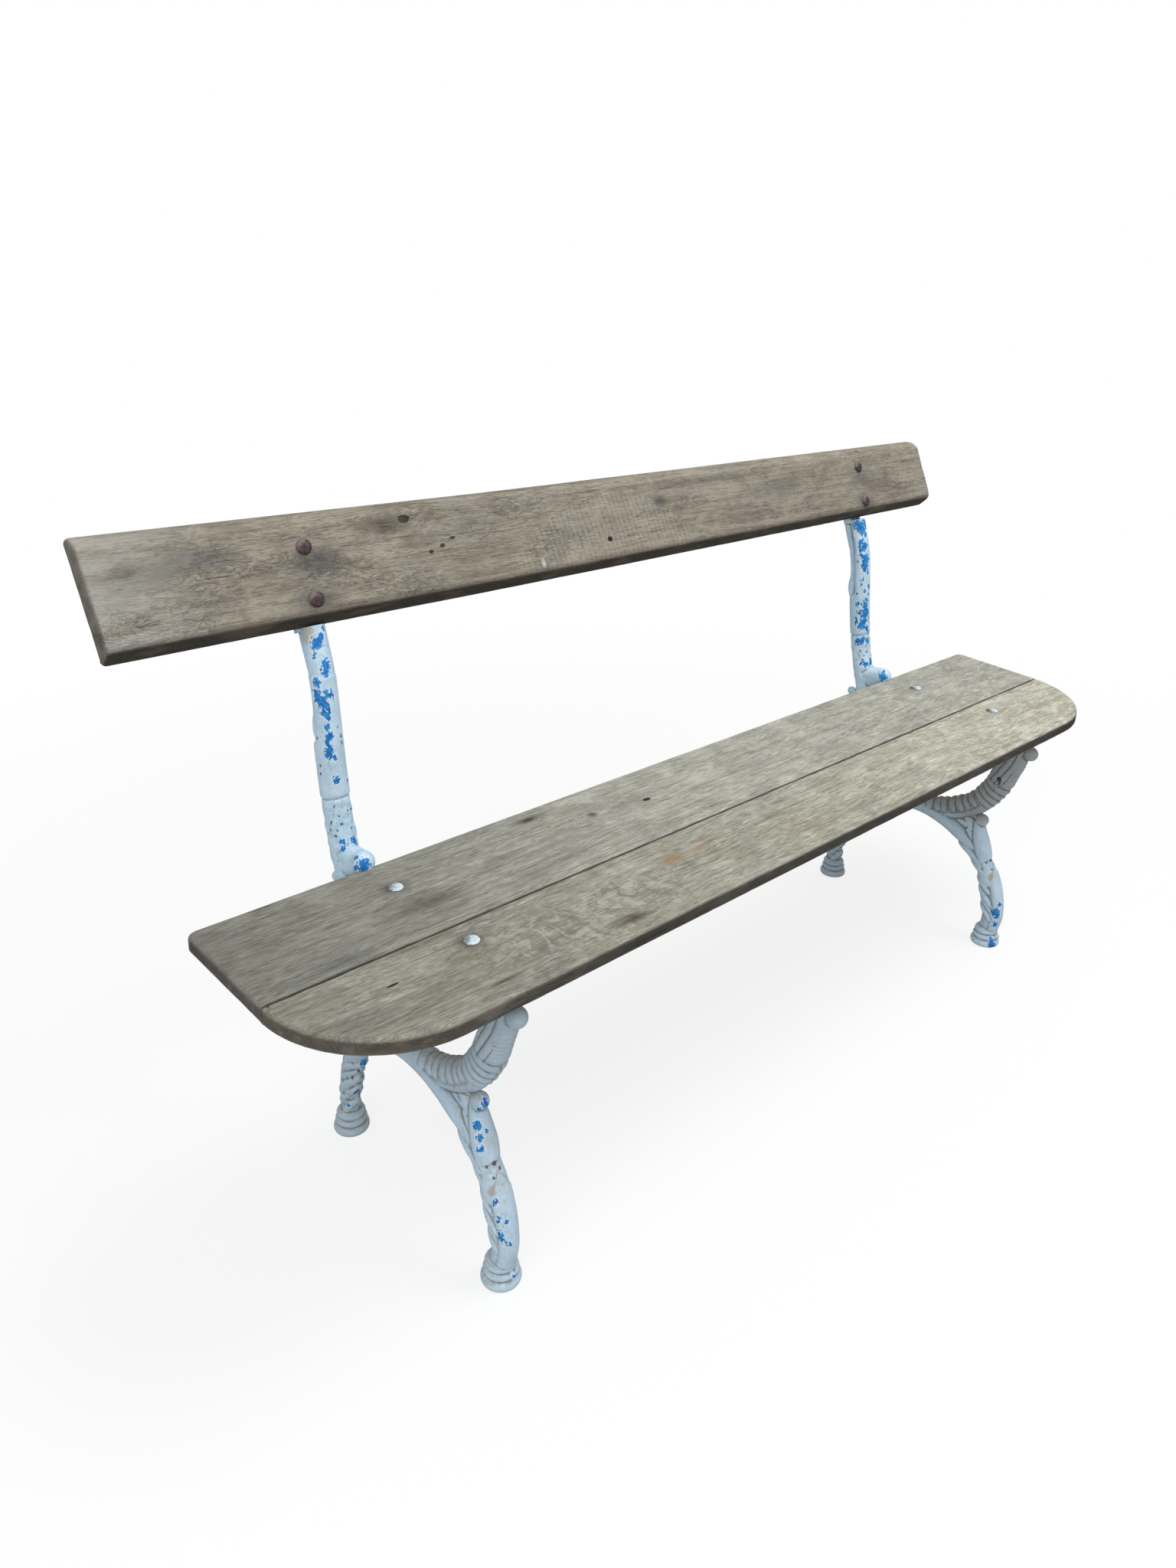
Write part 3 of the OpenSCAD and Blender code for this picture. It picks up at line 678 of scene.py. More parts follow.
def sawn(name, points, faces):
    """A closed solid cut across into small faces, so that its surface can wear."""
    piece = placed(name, points, faces)
    work = bmesh.new()
    work.from_mesh(piece.data)
    bmesh.ops.recalc_face_normals(work, faces=work.faces)
    low, high = np.array(points).min(axis=0), np.array(points).max(axis=0)
    for axis in range(3):
        normal = Vector([float(axis == k) for k in range(3)])
        count = int((high[axis] - low[axis]) / FACET)
        for cut in range(1, count):
            at = low + (high - low) * cut / count
            bmesh.ops.bisect_plane(
                work, geom=work.verts[:] + work.edges[:] + work.faces[:], dist=1e-7,
                plane_co=Vector((at + START) * MM), plane_no=normal)
    bmesh.ops.triangulate(work, faces=[f for f in work.faces if len(f.verts) > 4])
    work.to_mesh(piece.data)
    work.free()
    piece.data.shade_smooth()
    return piece


def seat_plank(name, side):
    outline, on_seam = kept_side(seat_outline(), side)
    top = [SEAM_ARRIS if seam else TOP_ARRIS for seam in on_seam]
    low = [SEAM_ARRIS if seam else LOW_ARRIS for seam in on_seam]
    rings = []
    for arrises, start, turn in ((low, BEARER_Z, 1), (top, SEAT_HEIGHT, -1)):
        swept = np.radians(np.linspace(0, 90, ARRIS_RINGS))[::turn]
        at_corner = [(arrises[i - 1] + arrises[i]) / 2 for i in range(len(arrises))]
        for angle in swept:
            drawn = inset(outline, [r * (1 - math.sin(angle)) for r in arrises])
            rings.append([
                (x, y, start + turn * r * (1 - math.cos(angle)))
                for (x, y), r in zip(drawn, at_corner)
            ])
    points, faces = banded(rings)
    return sawn(name, points, faces)


def side_faces(rings, around, looped=False):
    """Faces between stacked rings of points, and from the last ring to the first if looped."""
    return [
        (r * around + k, r * around + (k + 1) % around,
         (r + 1) % rings * around + (k + 1) % around, (r + 1) % rings * around + k)
        for r in range(rings if looped else rings - 1) for k in range(around)
    ]


def banded(rings):
    """The points of stacked rings and their faces, with one flat face on each end."""
    around = len(rings[0])
    faces = side_faces(len(rings), around)
    faces.append(tuple(range(around))[::-1])
    faces.append(tuple(range((len(rings) - 1) * around, len(rings) * around)))
    return [p for ring in rings for p in ring], faces


# Section of the back plank: how far through it, and how far up its face
BACK_TOP, BACK_CORNER, SECTION_ROUND = BACK_FACE_H + BACK_BEVEL, 4.0, 2.6
BACK_SECTION = [
    (BACK_THICK, BACK_CORNER - BACK_DROP), (BACK_THICK, BACK_TOP - BACK_CORNER),
    (BACK_THICK - BACK_CORNER, BACK_TOP), (BACK_BEVEL + 3, BACK_TOP),
    (BACK_BEVEL * 0.45, BACK_FACE_H + BACK_BEVEL * 0.62), (0, BACK_FACE_H),
    (0, 2), (3, -5), (9, -9), (BACK_THICK - BACK_CORNER, -BACK_DROP),
]


def on_back(points):
    """From the back plank's own axes (along, through, up its face) to upright ones."""
    along, through, up = np.asarray(points, dtype=float).T
    c, s = math.cos(math.radians(RECLINE)), math.sin(math.radians(RECLINE))
    return np.stack([along, BACK_Y + through * c + up * s, BACK_Z - through * s + up * c], axis=1)


def back_end_x(side, up):
    top = np.clip(up / BACK_FACE_H, 0, 1)
    if side < 0:
        return -BACK_LEFT - BACK_LEFT_LEAN * top
    return BACK_RIGHT + BACK_RIGHT_LEAN * (1 - top) if side > 0 else BACK_WAIST_X


def back_shift(along, up):
    """How much higher a point of the plank's section stands than at the plank's waist."""
    left = max(BACK_WAIST_X - along, 0) / (BACK_WAIST_X + BACK_LEFT + BACK_LEFT_LEAN)
    right = max(along - BACK_WAIST_X, 0) / (BACK_RIGHT + BACK_RIGHT_LEAN - BACK_WAIST_X)
    if up > BACK_FACE_H / 2:
        return BACK_LEFT_RISE * left - BACK_RIGHT_FALL * right
    return BACK_RIGHT_LIFT * right


def back_plank(name):
    section = rounded(BACK_SECTION, SECTION_ROUND)
    rings = []
    for side, angles in ((-1, range(0, 91, 15)), (0, [90]), (1, range(90, -1, -15))):
        for angle in angles:
            turn = math.radians(angle)
            drawn = inset(section, [END_ROUND * (1 - math.sin(turn))] * len(section))
            ring = []
            for through, up in drawn:
                along = back_end_x(side, up) - side * END_ROUND * (1 - math.cos(turn))
                ring.append((along, through, up + back_shift(along, up)))
            rings.append(ring)
    points, faces = banded(rings)
    return sawn(name, on_back(points), faces)


def rounded(outline, radius):
    """An outline with each corner turned into a short curve."""
    outline = np.array(outline, dtype=float)
    soft = []
    for i, corner in enumerate(outline):
        before, after = outline[i - 1] - corner, outline[(i + 1) % len(outline)] - corner
        reach = min(radius, 0.4 * np.linalg.norm(before), 0.4 * np.linalg.norm(after))
        start = corner + before / np.linalg.norm(before) * reach
        end = corner + after / np.linalg.norm(after) * reach
        for t in (0, 1 / 3, 2 / 3, 1):
            soft.append((1 - t) ** 2 * start + 2 * t * (1 - t) * corner + t * t * end)
    return np.array(soft)


def weathered(piece, seed, depth):
    """Wears a plank inwards: hollows along its grain, and edges eaten a little."""
    points, normals = points_of(piece), normals_of(piece)
    long_hollows = mottle(points * (0.25, 1, 1), 26, seed)
    bites = mottle(points, 19, seed + 3) + 0.5 * mottle(points, 8, seed + 5)
    edge = piece_edge(piece)
    worn = depth * (0.35 * (1 + long_hollows) + 0.9 * edge * np.maximum(bites, 0))
    set_points(piece, points - normals * worn[:, None])


def piece_edge(piece):
    """How sharply the surface turns at each point, from 0 on a flat face to 1 on an arris."""
    normals, edges = normals_of(piece), edges_of(piece)
    for _ in range(3):
        normals = neighbour_mean(normals, edges)
    return ease(0.002, 0.05, 1 - np.linalg.norm(normals, axis=1))


def dark_and_shaded_sides(piece, is_back):
    """Where a plank is darkened, by dirt and damp and by painted shade: its sides and ends, and under the
    back plank.
    """
    normals = normals_of(piece)
    if not is_back:
        return ease(0.35, 0.95, 1 - np.abs(normals[:, 2]))
    up = np.array([0, math.sin(math.radians(RECLINE)), math.cos(math.radians(RECLINE))])
    return np.maximum(ease(0.25, 0.8, -normals @ up), 0.6 * ease(0.3, 0.9, np.abs(normals[:, 0])))


for plank, node, slot_name, seed, wear, oak in (
        (seat_plank("front_seat_plank", -1), "seat_front_plank", "seat_wood", 2, 0.5, front_seat_oak),
        (seat_plank("rear_seat_plank", 1), "seat_rear_plank", "seat_wood", 5, 0.5, rear_seat_oak),
        (back_plank("top_rail_plank"), "back_plank", "back_wood", 9, 0.6, back_oak)):
    weathered(plank, seed, wear)
    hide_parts(node)
    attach(plank, "root")
    # The edge attribute marks the sides darkened by dirt and damp and by painted shade
    record_on(plank, "edge", dark_and_shaded_sides(plank, node == "back_plank"))
    plank.data.materials.append(oak())


# The end castings

# Each knot: depth, height, half thickness seen from the side, half width
LEG_KNOTS = [
    (-90, 20, 16.5, 15.5), (-94, 50, 18.5, 15.5), (-93, 75, 19, 16), (-88, 100, 19, 17),
    (-80, 125, 18, 17), (-66, 150, 16.5, 17), (-41, 176, 15.5, 17), (-2, 202, 15.5, 16.5),
    (40, 217, 15.5, 16), (80, 222, 16, 16), (122, 217, 15.5, 16), (160, 202, 15.5, 16),
    (193, 177, 16, 16), (215, 150, 17, 16), (231, 125, 18, 16), (240, 100, 17.5, 16),
    (246, 75, 17, 15.5), (248, 50, 16.5, 15), (249, 20, 16, 15),
]
BOW_KNOTS = [
    (-100, 405, 16, 15), (-98, 386, 18, 16), (-92, 365, 21, 18), (-83, 345, 22.5, 19),
    (-71, 313, 23, 20), (-55, 286, 22.5, 19.5), (-35, 263, 21.5, 18.5), (-9, 245, 21, 17.5),
    (17, 234.5, 20, 17), (42, 229, 18.5, 16), (80, 226, 17.5, 16), (118, 230, 18, 16),
    (150, 243, 18.5, 16), (175, 263, 19, 16.5), (193, 290, 19, 17), (205, 320, 19, 17),
    (213, 352, 19, 17.5), (218, 385, 18, 17.5), (221.5, 415, 16.5, 17.5), (230.5, 450, 17.5, 18.5),
    (242, 500, 17, 18), (250, 550, 17.5, 17.5), (256, 600, 18, 17.5), (262, 650, 18, 17.5),
    (267, 680, 18, 17.5), (275, 703, 19, 17), (282.4, 727.3, 19, 16.5),
]
# The band that runs down the front of the leg from the small ball under the bow
BAND_KNOTS = [
    (-44, 230, 8.5, 9), (-47, 218, 11, 11.5), (-51, 203, 13, 14.5), (-56, 188, 14.5, 16.2),
    (-60, 176, 14.8, 16.8), (-63, 166, 14, 16.2), (-65, 157, 12.2, 15.5),
]
# The strap that runs down behind the upright and ends in the tip of a leaf
STRAP_KNOTS = [
    (300.5, 744, 8.5, 11), (291.5, 712, 7.6, 10.5), (284, 686, 6, 9.4), (276, 662, 5.4, 8.6),
    (272, 640, 5.4, 8.4), (270, 622, 5.8, 8.8), (271, 606, 7.6, 9.6), (270, 594, 7, 10),
    (264, 578, 6, 9),
]
BOSS_AT, LOW_BALL_AT, KNOB_AT = (186, SEAT_HEIGHT + 4), (-50, 233), (-117, 384)

# Ridges of the casting: on which limb, where the first one is, how far apart and how many,
# the angle of their middles and how far they reach round, how far their ends slide along the
# limb, the bar's radius, how deep it is sunk, how much the middle is lifted, how blunt the
# ends are, and how uneven it all is
RIDGES = [
    ("bow", 154.5, 16.2, 7, 0, 116, 0, 1.4, 8.1, 7.5, 0.0, 8, 0.07),
    ("bow", 97.5, 12.9, 4, 0, 180, 4, 1.5, 7.0, 6.4, 0.0, 60, 0.04),
    ("leg", 58, 19.5, 4, 180, 118, -36, 1.5, 7.2, 6.3, 2.0, 3, 0.14),
    ("leg", 152, 21, 3, 180, 114, -50, 1.4, 6.8, 6.0, 1.8, 3, 0.12),
    ("leg", 478, 21.5, 5, 180, 140, 46, 1.3, 7.2, 6.9, 1.4, 4, 0.16),
]

# Known chips in the paint: sideways from the casting's middle, depth, height, radius
LEFT_CHIPS = [
    (7, 263, 727, 3), (1, 260, 719, 3.4), (-6, 259, 711, 7), (-12, 257, 696, 2.4),
    (-1, 250, 687, 6.2), (-2, 249, 677, 4.6), (-13, 251, 665, 4.6), (-14, 251, 651, 5),
    (-12, 248, 642, 5.4), (-2, 244, 649, 5.4), (-7, 244, 638, 5.4), (-10, 244, 628, 4.2),
    (-6, 242, 625, 4.4), (-7, 241, 609, 3.8), (-6, 239, 599, 4.6), (-10, 240, 589, 2.6),
    (-9, 238, 581, 4.8), (-9, 238, 573, 4.4), (-3, 235, 570, 3), (-5, 232, 542, 4),
    (11, 235, 535, 2.6), (-9, 217, 462, 3.4), (-9, 215, 453, 3.8), (6, 216, 459, 4.6),
    (-7, 173, 448, 7.4), (-15, 180, 441, 3.6), (0, -61, 235, 5), (-6, -58, 228, 3.4),
    (-11, -58, 209, 4.6), (-12, -64, 195, 4), (-13, -68, 182, 3.8), (-2, -66, 201, 2.6),
    (-12, -94, 124, 3.8), (-12, -100, 105, 3.6), (-6, -108, 101, 2.4), (-13, -104, 84, 5.6),
    (-10, -106, 77, 4), (-5, -111, 72, 3), (-13, -111, 14, 3),
    (-1, 206, 133, 5), (-1, 230, 71, 5), (-11, 237, 48, 3), (-4, 214, 120, 2.4),
    (0, -117, 21, 3.6), (-12, 183, 456, 3.2), (-3, 173, 457, 3),
]
RIGHT_CHIPS = [
    (-13, 266, 722, 8), (2, 261, 724, 8), (-7, 259, 712, 7), (-1, 256, 704, 4),
    (-13, 256, 689, 6), (-8, 251, 684, 7), (-5, 247, 664, 5), (-6, 246, 656, 7),
    (-8, 245, 646, 6.4), (1, 239, 608, 4.2), (0, 238, 594, 2.6), (-16, 247, 574, 3.6),
    (-8, 237, 573, 6.4), (-5, 234, 560, 7.4), (-7, 234, 548, 8), (-12, 236, 537, 8),
    (-17, 243, 541, 4.6), (-3, 230, 527, 5.6), (-17, 237, 503, 5.4), (-12, 230, 506, 5.6),
    (-3, 225, 504, 5), (-16, 225, 464, 4), (-10, 218, 461, 4.6), (1, 216, 466, 5),
    (-14, 176, 449, 9), (-9, -98, 114, 3.6), (-6, -108, 87, 4.6), (-11, -107, 72, 7),
    (-10, -108, 48, 4.6), (-14, -108, 22, 4), (-12, -110, 8, 6.4),
    (-7, 170, 451, 4), (-15, 184, 453, 3.6), (-6, 179, 460, 3.6), (-13, 254, 676, 3.4),
    (-14, 252, 667, 3), (-2, 241, 634, 3.2), (-12, 244, 622, 3.4), (-14, 245, 612, 2.8),
    (-9, 241, 600, 3.2), (-4, 237, 583, 3.6), (-15, 241, 560, 3.6),
]
# Small dark specks of rust, in the same way
SPECKS = [
    (-11, 230, 507, 1.5), (-7, 225, 495, 1.5), (-16, 230, 487, 1.5), (-12, 223, 477, 1.5),
    (-1, -77, 162, 2.6), (4, -82, 156, 2), (-8, -80, 152, 1.6), (-2, -88, 146, 1.8),
    (-3, 216, 114, 2.4), (-9, 225, 101, 2), (5, 222, 98, 2), (8, 232, 73, 2.2),
    (-8, 233, 58, 2), (2, 226, 88, 1.6), (-12, 222, 108, 1.8), (0, 236, 52, 1.8),
    (-14, 240, 30, 2), (6, 238, 36, 1.8), (-6, 228, 82, 1.6), (5, 225, 499, 1.4),
    (6, 220, 476, 1.6), (9, 239, 594, 2.2), (9, 238, 586, 2), (5, 239, 606, 1.6),
    (-17, 250, 594, 2), (-12, 257, 700, 1.8), (-11, 230, 497, 1.8), (11, 228, 498, 1.8),
    (-17, 246, 560, 2.2), (-18, 246, 548, 2), (-16, 256, 655, 1.8),
    (-14, 238, 520, 2.2), (-15, 232, 484, 2), (-16, 231, 476, 2), (-13, 236, 588, 1.8),
    (-6, 222, 484, 1.8), (-1, 219, 478, 1.6), (-14, 224, 470, 1.8), (1, -74, 166, 1.6),
    (-10, -75, 160, 1.6), (-7, -85, 150, 1.8), (-5, -93, 137, 1.8),
]
# Cream-brown patches where rust has bled through, in the same way
TAN_SPOTS = [
    (-14, 268, 722, 9), (-12, 263, 731, 6), (-12, 186, 454, 4.5), (-12, -88, 136, 5),
    (2, 2, 268, 9), (-2, -22, 283, 8), (0, 30, 246, 8), (-4, -78, 150, 4),
]
# The rust pit in the far casting's arm, with the rust in it
PIT_AT, PIT_SIZE, PIT_DEPTH, PIT_RIM = (-19, -78, 324), (9, 5.5, 9.5), 4.4, 0.7
PIT_RUST = [(-19, -77, 327, 3.4), (-19, -78, 320, 3.2), (-18, -88, 323, 2)]

# Steps along a path between two knots, and how many points are compared with a path at a time
PATH_STEPS, BATCH = 16, 8000
TUBE_SIDES, BAR_SIDES, BAR_POINTS, ROD_SIDES, FOOT_SIDES = 44, 18, 41, 40, 64
# How far the limbs are cut back between their ridges
PARED = 2.4
# Stretches of the leg and of the bow that are carved, from knot to knot
LOW_LEAVES, HIGH_LEAVES, REAR_LEAVES, REAR_BARK = (0.5, 3.7), (4.7, 6.6), (12.3, 17.7), (12.4, 17)
FLUTES, RIPPLES, UPRIGHT_BARK = (1.2, 3.9), (1.4, 3.9), (18, 20.18)
COLLAR_LINE, SLEEVE = (20.24, 20.3), (20.32, 23.55)
# The same in millimetres from the bow's front end, and the heights of the parts darkened by dirt and
# painted shade
BARS, RINGS, BEHIND_BACK = (145, 262), (91, 146), (728, 872)
UNDER_SEAT, REAR_LEG = (228, 418), (-40, 240)
# Cells of the skin, the most triangles it keeps, and how it is softened
SKIN_CELL, MOST_TRIANGLES = 1.2, 190000
SOFTENING, SOFTENING_STEPS = 0.6, 16


class Limb:
    """A tube of the casting along a smooth path through its knots."""

    def __init__(self, knots):
        knots = np.array(knots, dtype=float)
        ends = [2 * knots[0] - knots[1], *knots, 2 * knots[-1] - knots[-2]]
        rows = []
        for i in range(len(knots) - 1):
            a, b, c, d = ends[i:i + 4]
            for t in np.arange(PATH_STEPS) / PATH_STEPS:
                point = 2 * b + (c - a) * t + (2 * a - 5 * b + 4 * c - d) * t * t
                point = 0.5 * (point + (3 * b - a - 3 * c + d) * t ** 3)
                rows.append([*point, i + t])
        rows.append([*knots[-1], len(knots) - 1])
        rows = np.array(rows)
        self.middle, self.half, self.knot = rows[:, :2], rows[:, 2:4], rows[:, 4]
        along = np.gradient(self.middle, axis=0)
        self.along = along / np.linalg.norm(along, axis=1)[:, None]
        self.across = np.stack([-self.along[:, 1], self.along[:, 0]], axis=1)
        steps_long = np.linalg.norm(np.diff(self.middle, axis=0), axis=1)
        self.length = np.concatenate([[0], np.cumsum(steps_long)])

    def grown(self, recipe, **sizes):
        """What a recipe makes along this limb: its points, in millimetres, and its faces."""
        path = bpy.data.meshes.new("limb")
        points = [(0, y * MM, z * MM) for y, z in self.middle]
        path.from_pydata(points, [(i, i + 1) for i in range(len(points) - 1)], [])
        piece = bpy.data.objects.new("limb", path)
        bpy.context.scene.collection.objects.link(piece)
        record_on(piece, "thick", self.half[:, 0] * MM)
        record_on(piece, "wide", self.half[:, 1] * MM)
        recipe.run_on(piece, **sizes)
        points, faces = rows_of(piece.data.vertices, "co", 3) / MM, faces_of(piece)
        bpy.data.objects.remove(piece)
        return points, faces

    def nearest(self, points):
        """For each point: place on the path, length along it, angle round it, and how far out."""
        rows = np.empty(len(points), dtype=np.int64)
        for first in range(0, len(points), BATCH):
            part = points[first:first + BATCH, None, 1:] - self.middle[None]
            rows[first:first + BATCH] = np.argmin((part ** 2).sum(axis=2), axis=1)
        offset = points[:, 1:] - self.middle[rows]
        out = (offset * self.across[rows]).sum(axis=1) / self.half[rows, 0]
        side = points[:, 0] / self.half[rows, 1]
        slide = (offset * self.along[rows]).sum(axis=1)
        pitch = np.gradient(self.length)[rows]
        return {
            "points": points,
            "row": rows,
            "knot": self.knot[rows] + slide / pitch * np.gradient(self.knot)[rows],
            "length": self.length[rows] + slide,
            "angle": np.degrees(np.arctan2(np.abs(side), out)),
            "reach": np.hypot(out, side),
        }


def tube_recipe():
    """A tube along a path, whose thickness and width the path's points hold."""
    r = Recipe("tube_along_a_limb", [("Sides", "Int")])
    path = r.node("GeometryNodeMeshToCurve", None, {"Mesh": r.given("Geometry")})
    ring = r.node("GeometryNodeCurvePrimitiveCircle", None, {"Resolution": r.given("Sides"), "Radius": 1.0})
    tube = r.node("GeometryNodeCurveToMesh", None, {
        "Curve": path, "Profile Curve": ring, "Scale": r.kept("thick"), "Fill Caps": True})
    at = r.node("GeometryNodeInputPosition")
    wider = r.kept("wide") / r.kept("thick")
    widened = r.whole(r.part(at, 0) * wider, r.part(at, 1), r.part(at, 2))
    return r.ended(r.node("GeometryNodeSetPosition", None, {"Geometry": tube, "Position": widened}))


def ridge_recipe():
    """Rounded bars that bend round a limb, one after another along it."""
    r = Recipe("ridges_round_a_limb", [
        ("First", "Float"), ("Pitch", "Float"), ("Count", "Int"), ("Middle angle", "Float"),
        ("Reach round", "Float"), ("Slide", "Float"), ("Bend", "Float"), ("Bar radius", "Float"),
        ("Sink", "Float"), ("Lift", "Float"), ("Bluntness", "Float"), ("Unevenness", "Float"),
        ("Seed", "Int")])
    limb = r.node("GeometryNodeMeshToCurve", None, {"Mesh": r.given("Geometry")})
    line = r.node("GeometryNodeCurvePrimitiveLine", None, {"End": (0.0, 0.0, 0.1)})
    line = r.node("GeometryNodeResampleCurve", None, {"Curve": line, "Count": BAR_POINTS})
    rows = r.node("GeometryNodeDuplicateElements", {"domain": "SPLINE"}, {
        "Geometry": line, "Amount": r.given("Count")})
    number = Link(r, rows.socket.node.outputs["Duplicate Index"])
    share = r.node("GeometryNodeSplineParameter") * 2.0 - 1.0
    swing = abs(share)
    angle = r.given("Middle angle") + r.given("Reach round") * share

    def uneven(stream):
        return r.chance(number, r.given("Seed") + float(stream)) * r.given("Unevenness")

    length = (r.given("First") + r.given("Pitch") * (number + uneven(0))
              + r.given("Slide") * (uneven(1) + 1.0) * swing ** r.given("Bend"))

    def sampled(value, output=0):
        return r.node("GeometryNodeSampleCurve", {"mode": "LENGTH"}, {
            "Curves": limb, "Value": value, "Length": length}, output)

    middle, along = sampled(0.0, "Position"), sampled(0.0, "Tangent")
    lift = r.given("Lift") * (1.0 - swing) ** 3.0 - r.given("Sink")
    out = (sampled(r.kept("thick")) + lift) * angle.maths("COSINE")
    side = (sampled(r.kept("wide")) + lift) * angle.maths("SINE")
    place = r.whole(side, r.part(middle, 1) - r.part(along, 2) * out,
                    r.part(middle, 2) + r.part(along, 1) * out)
    rows = r.node("GeometryNodeSetPosition", None, {"Geometry": rows, "Position": place})
    ring = r.node("GeometryNodeCurvePrimitiveCircle", None, {"Resolution": BAR_SIDES, "Radius": 1.0})
    taper = (1.02 - swing ** r.given("Bluntness")) ** 0.5
    radius = r.given("Bar radius") * (uneven(2) + 1.0) * taper
    return r.ended(r.node("GeometryNodeCurveToMesh", None, {
        "Curve": rows, "Profile Curve": ring, "Scale": radius, "Fill Caps": True}))


def closed_skin(points, around):
    """Faces over stacked rings of points, with a middle point in each end."""
    points = list(points)
    rings = len(points) // around
    faces = side_faces(rings, around)
    for ring, turned in ((0, True), (rings - 1, False)):
        start = ring * around
        middle = len(points)
        points.append(np.mean(points[start:start + around], axis=0))
        for k in range(around):
            a, b = start + k, start + (k + 1) % around
            faces.append((b, a, middle) if turned else (a, b, middle))
    return points, faces


def ball(middle, radius):
    shape = bmesh.new()
    bmesh.ops.create_icosphere(shape, subdivisions=4, radius=radius)
    points = [np.array(v.co) + (0, *middle) for v in shape.verts]
    faces = [tuple(v.index for v in f.verts) for f in shape.faces]
    shape.free()
    return points, faces


def round_angles(count):
    """Equal angles for one full turn."""
    return np.arange(count) * 2 * math.pi / count


def rod(start, end, radius_start, radius_end):
    """Closed tapered rod between two points of the casting's middle plane."""
    start, end = np.array((0, *start), float), np.array((0, *end), float)
    along = (end - start) / np.linalg.norm(end - start)
    across = np.cross((1, 0, 0), along)
    points = [
        middle + radius * (math.cos(a) * across + math.sin(a) * np.array((1, 0, 0)))
        for middle, radius in ((start, radius_start), (end, radius_end))
        for a in round_angles(ROD_SIDES)
    ]
    return closed_skin(points, ROD_SIDES)


def plate(low, high, turn=0.0, about=(0.0, 0.0)):
    """Closed flat bar between two corners, turned about the X axis."""
    corners = [
        (x, y, z) for z in (low[2], high[2])
        for x, y in ((low[0], low[1]), (high[0], low[1]), (high[0], high[1]), (low[0], high[1]))
    ]
    c, s = math.cos(math.radians(turn)), math.sin(math.radians(turn))
    corners = [
        (x, about[0] + y * c - z * s, about[1] + y * s + z * c) for x, y, z in corners
    ]
    return corners, [
        (3, 2, 1, 0), (4, 5, 6, 7), (0, 1, 5, 4), (1, 2, 6, 5), (2, 3, 7, 6), (3, 0, 4, 7)
    ]


def foot(y):
    """Collared foot: flared lip on the ground, two rounded rings over it."""
    profile = [
        (FOOT_R - 3.2, 0), (FOOT_R - 0.9, 1.4), (FOOT_R, 4.4), (FOOT_R - 0.4, 8), (FOOT_R - 2, 10.8),
        (20.6, 12.4), (19.8, 13.4), (21.6, 15.2), (22.2, 18.2), (21.2, 21), (18.6, 22.8), (17.8, 23.8),
        (19.6, 25.4), (20.2, 27.8), (19.4, 30.4), (17.2, 32.4), (15.5, 34),
    ]
    points = [
        (radius * math.sin(a), y - radius * math.cos(a), height)
        for radius, height in profile for a in round_angles(FOOT_SIDES)
    ]
    return closed_skin(points, FOOT_SIDES)


def joined(solids):
    points, faces = [], []
    for new_points, new_faces in solids:
        base = len(points)
        points += list(new_points)
        faces += [tuple(i + base for i in face) for face in new_faces]
    return points, faces


def leg_pared(at):
    """How far the leg is cut back between its leaf-like ridges."""
    angle, knot = at["angle"], at["knot"]
    front = between(*LOW_LEAVES, 0.3, knot) + between(*HIGH_LEAVES, 0.3, knot)
    rear = between(*REAR_LEAVES, 0.3, knot)
    return PARED * np.maximum(front * ease(52, 76, angle), rear * ease(25, 48, angle))


def bow_pared(at):
    """How far the bow is cut back between its bars and rings."""
    angle, length = at["angle"], at["length"]
    bars = between(*BARS, 2, length) * (1 - ease(112, 132, angle))
    rings = between(*RINGS, 2, length)
    behind = between(*BEHIND_BACK, 9, length) * ease(74, 120, angle)
    return PARED * np.maximum(bars, rings) + 12 * behind


def leg_relief(at):
    """A smooth leaf with a pointed top on the front leg, and bark on the rear leg."""
    angle, length = at["angle"], at["length"]
    leaf = ease(-1.2, 1.2, 129 - 0.35 * angle - length) * (1 - ease(46, 66, angle))
    leaf = leaf * ease(0.5, 1.5, at["knot"]) * (1 - ease(7, 8, at["knot"]))
    bark = mottle(at["points"], 7, 4) * between(*REAR_BARK, 0.3, at["knot"])
    return 1.7 * leaf + 1.3 * bark


def bow_relief(at):
    """Finer carving of the bow: leaf flutes on the arm; bark, a line and a sleeve on the upright."""
    angle, length, knot = at["angle"], at["length"], at["knot"]
    flutes = 3.8 * (ridges((angle + 9 * (knot - 3) + 5 * np.sin(length / 13)) / 31) - 0.75)
    flutes *= between(*FLUTES, 0.2, knot) * (1 - ease(108, 136, angle))
    ripples = 0.25 * np.sin(length / 1.1) * between(*RIPPLES, 0.3, knot) * ease(112, 130, angle)
    sleeve = 0.9 * between(*SLEEVE, 0.05, knot)
    collar_line = -0.9 * between(*COLLAR_LINE, 0.03, knot)
    bark = 1.2 * mottle(at["points"], 8, 9) * between(*UPRIGHT_BARK, 0.12, knot)
    return flutes + ripples + sleeve + collar_line + bark


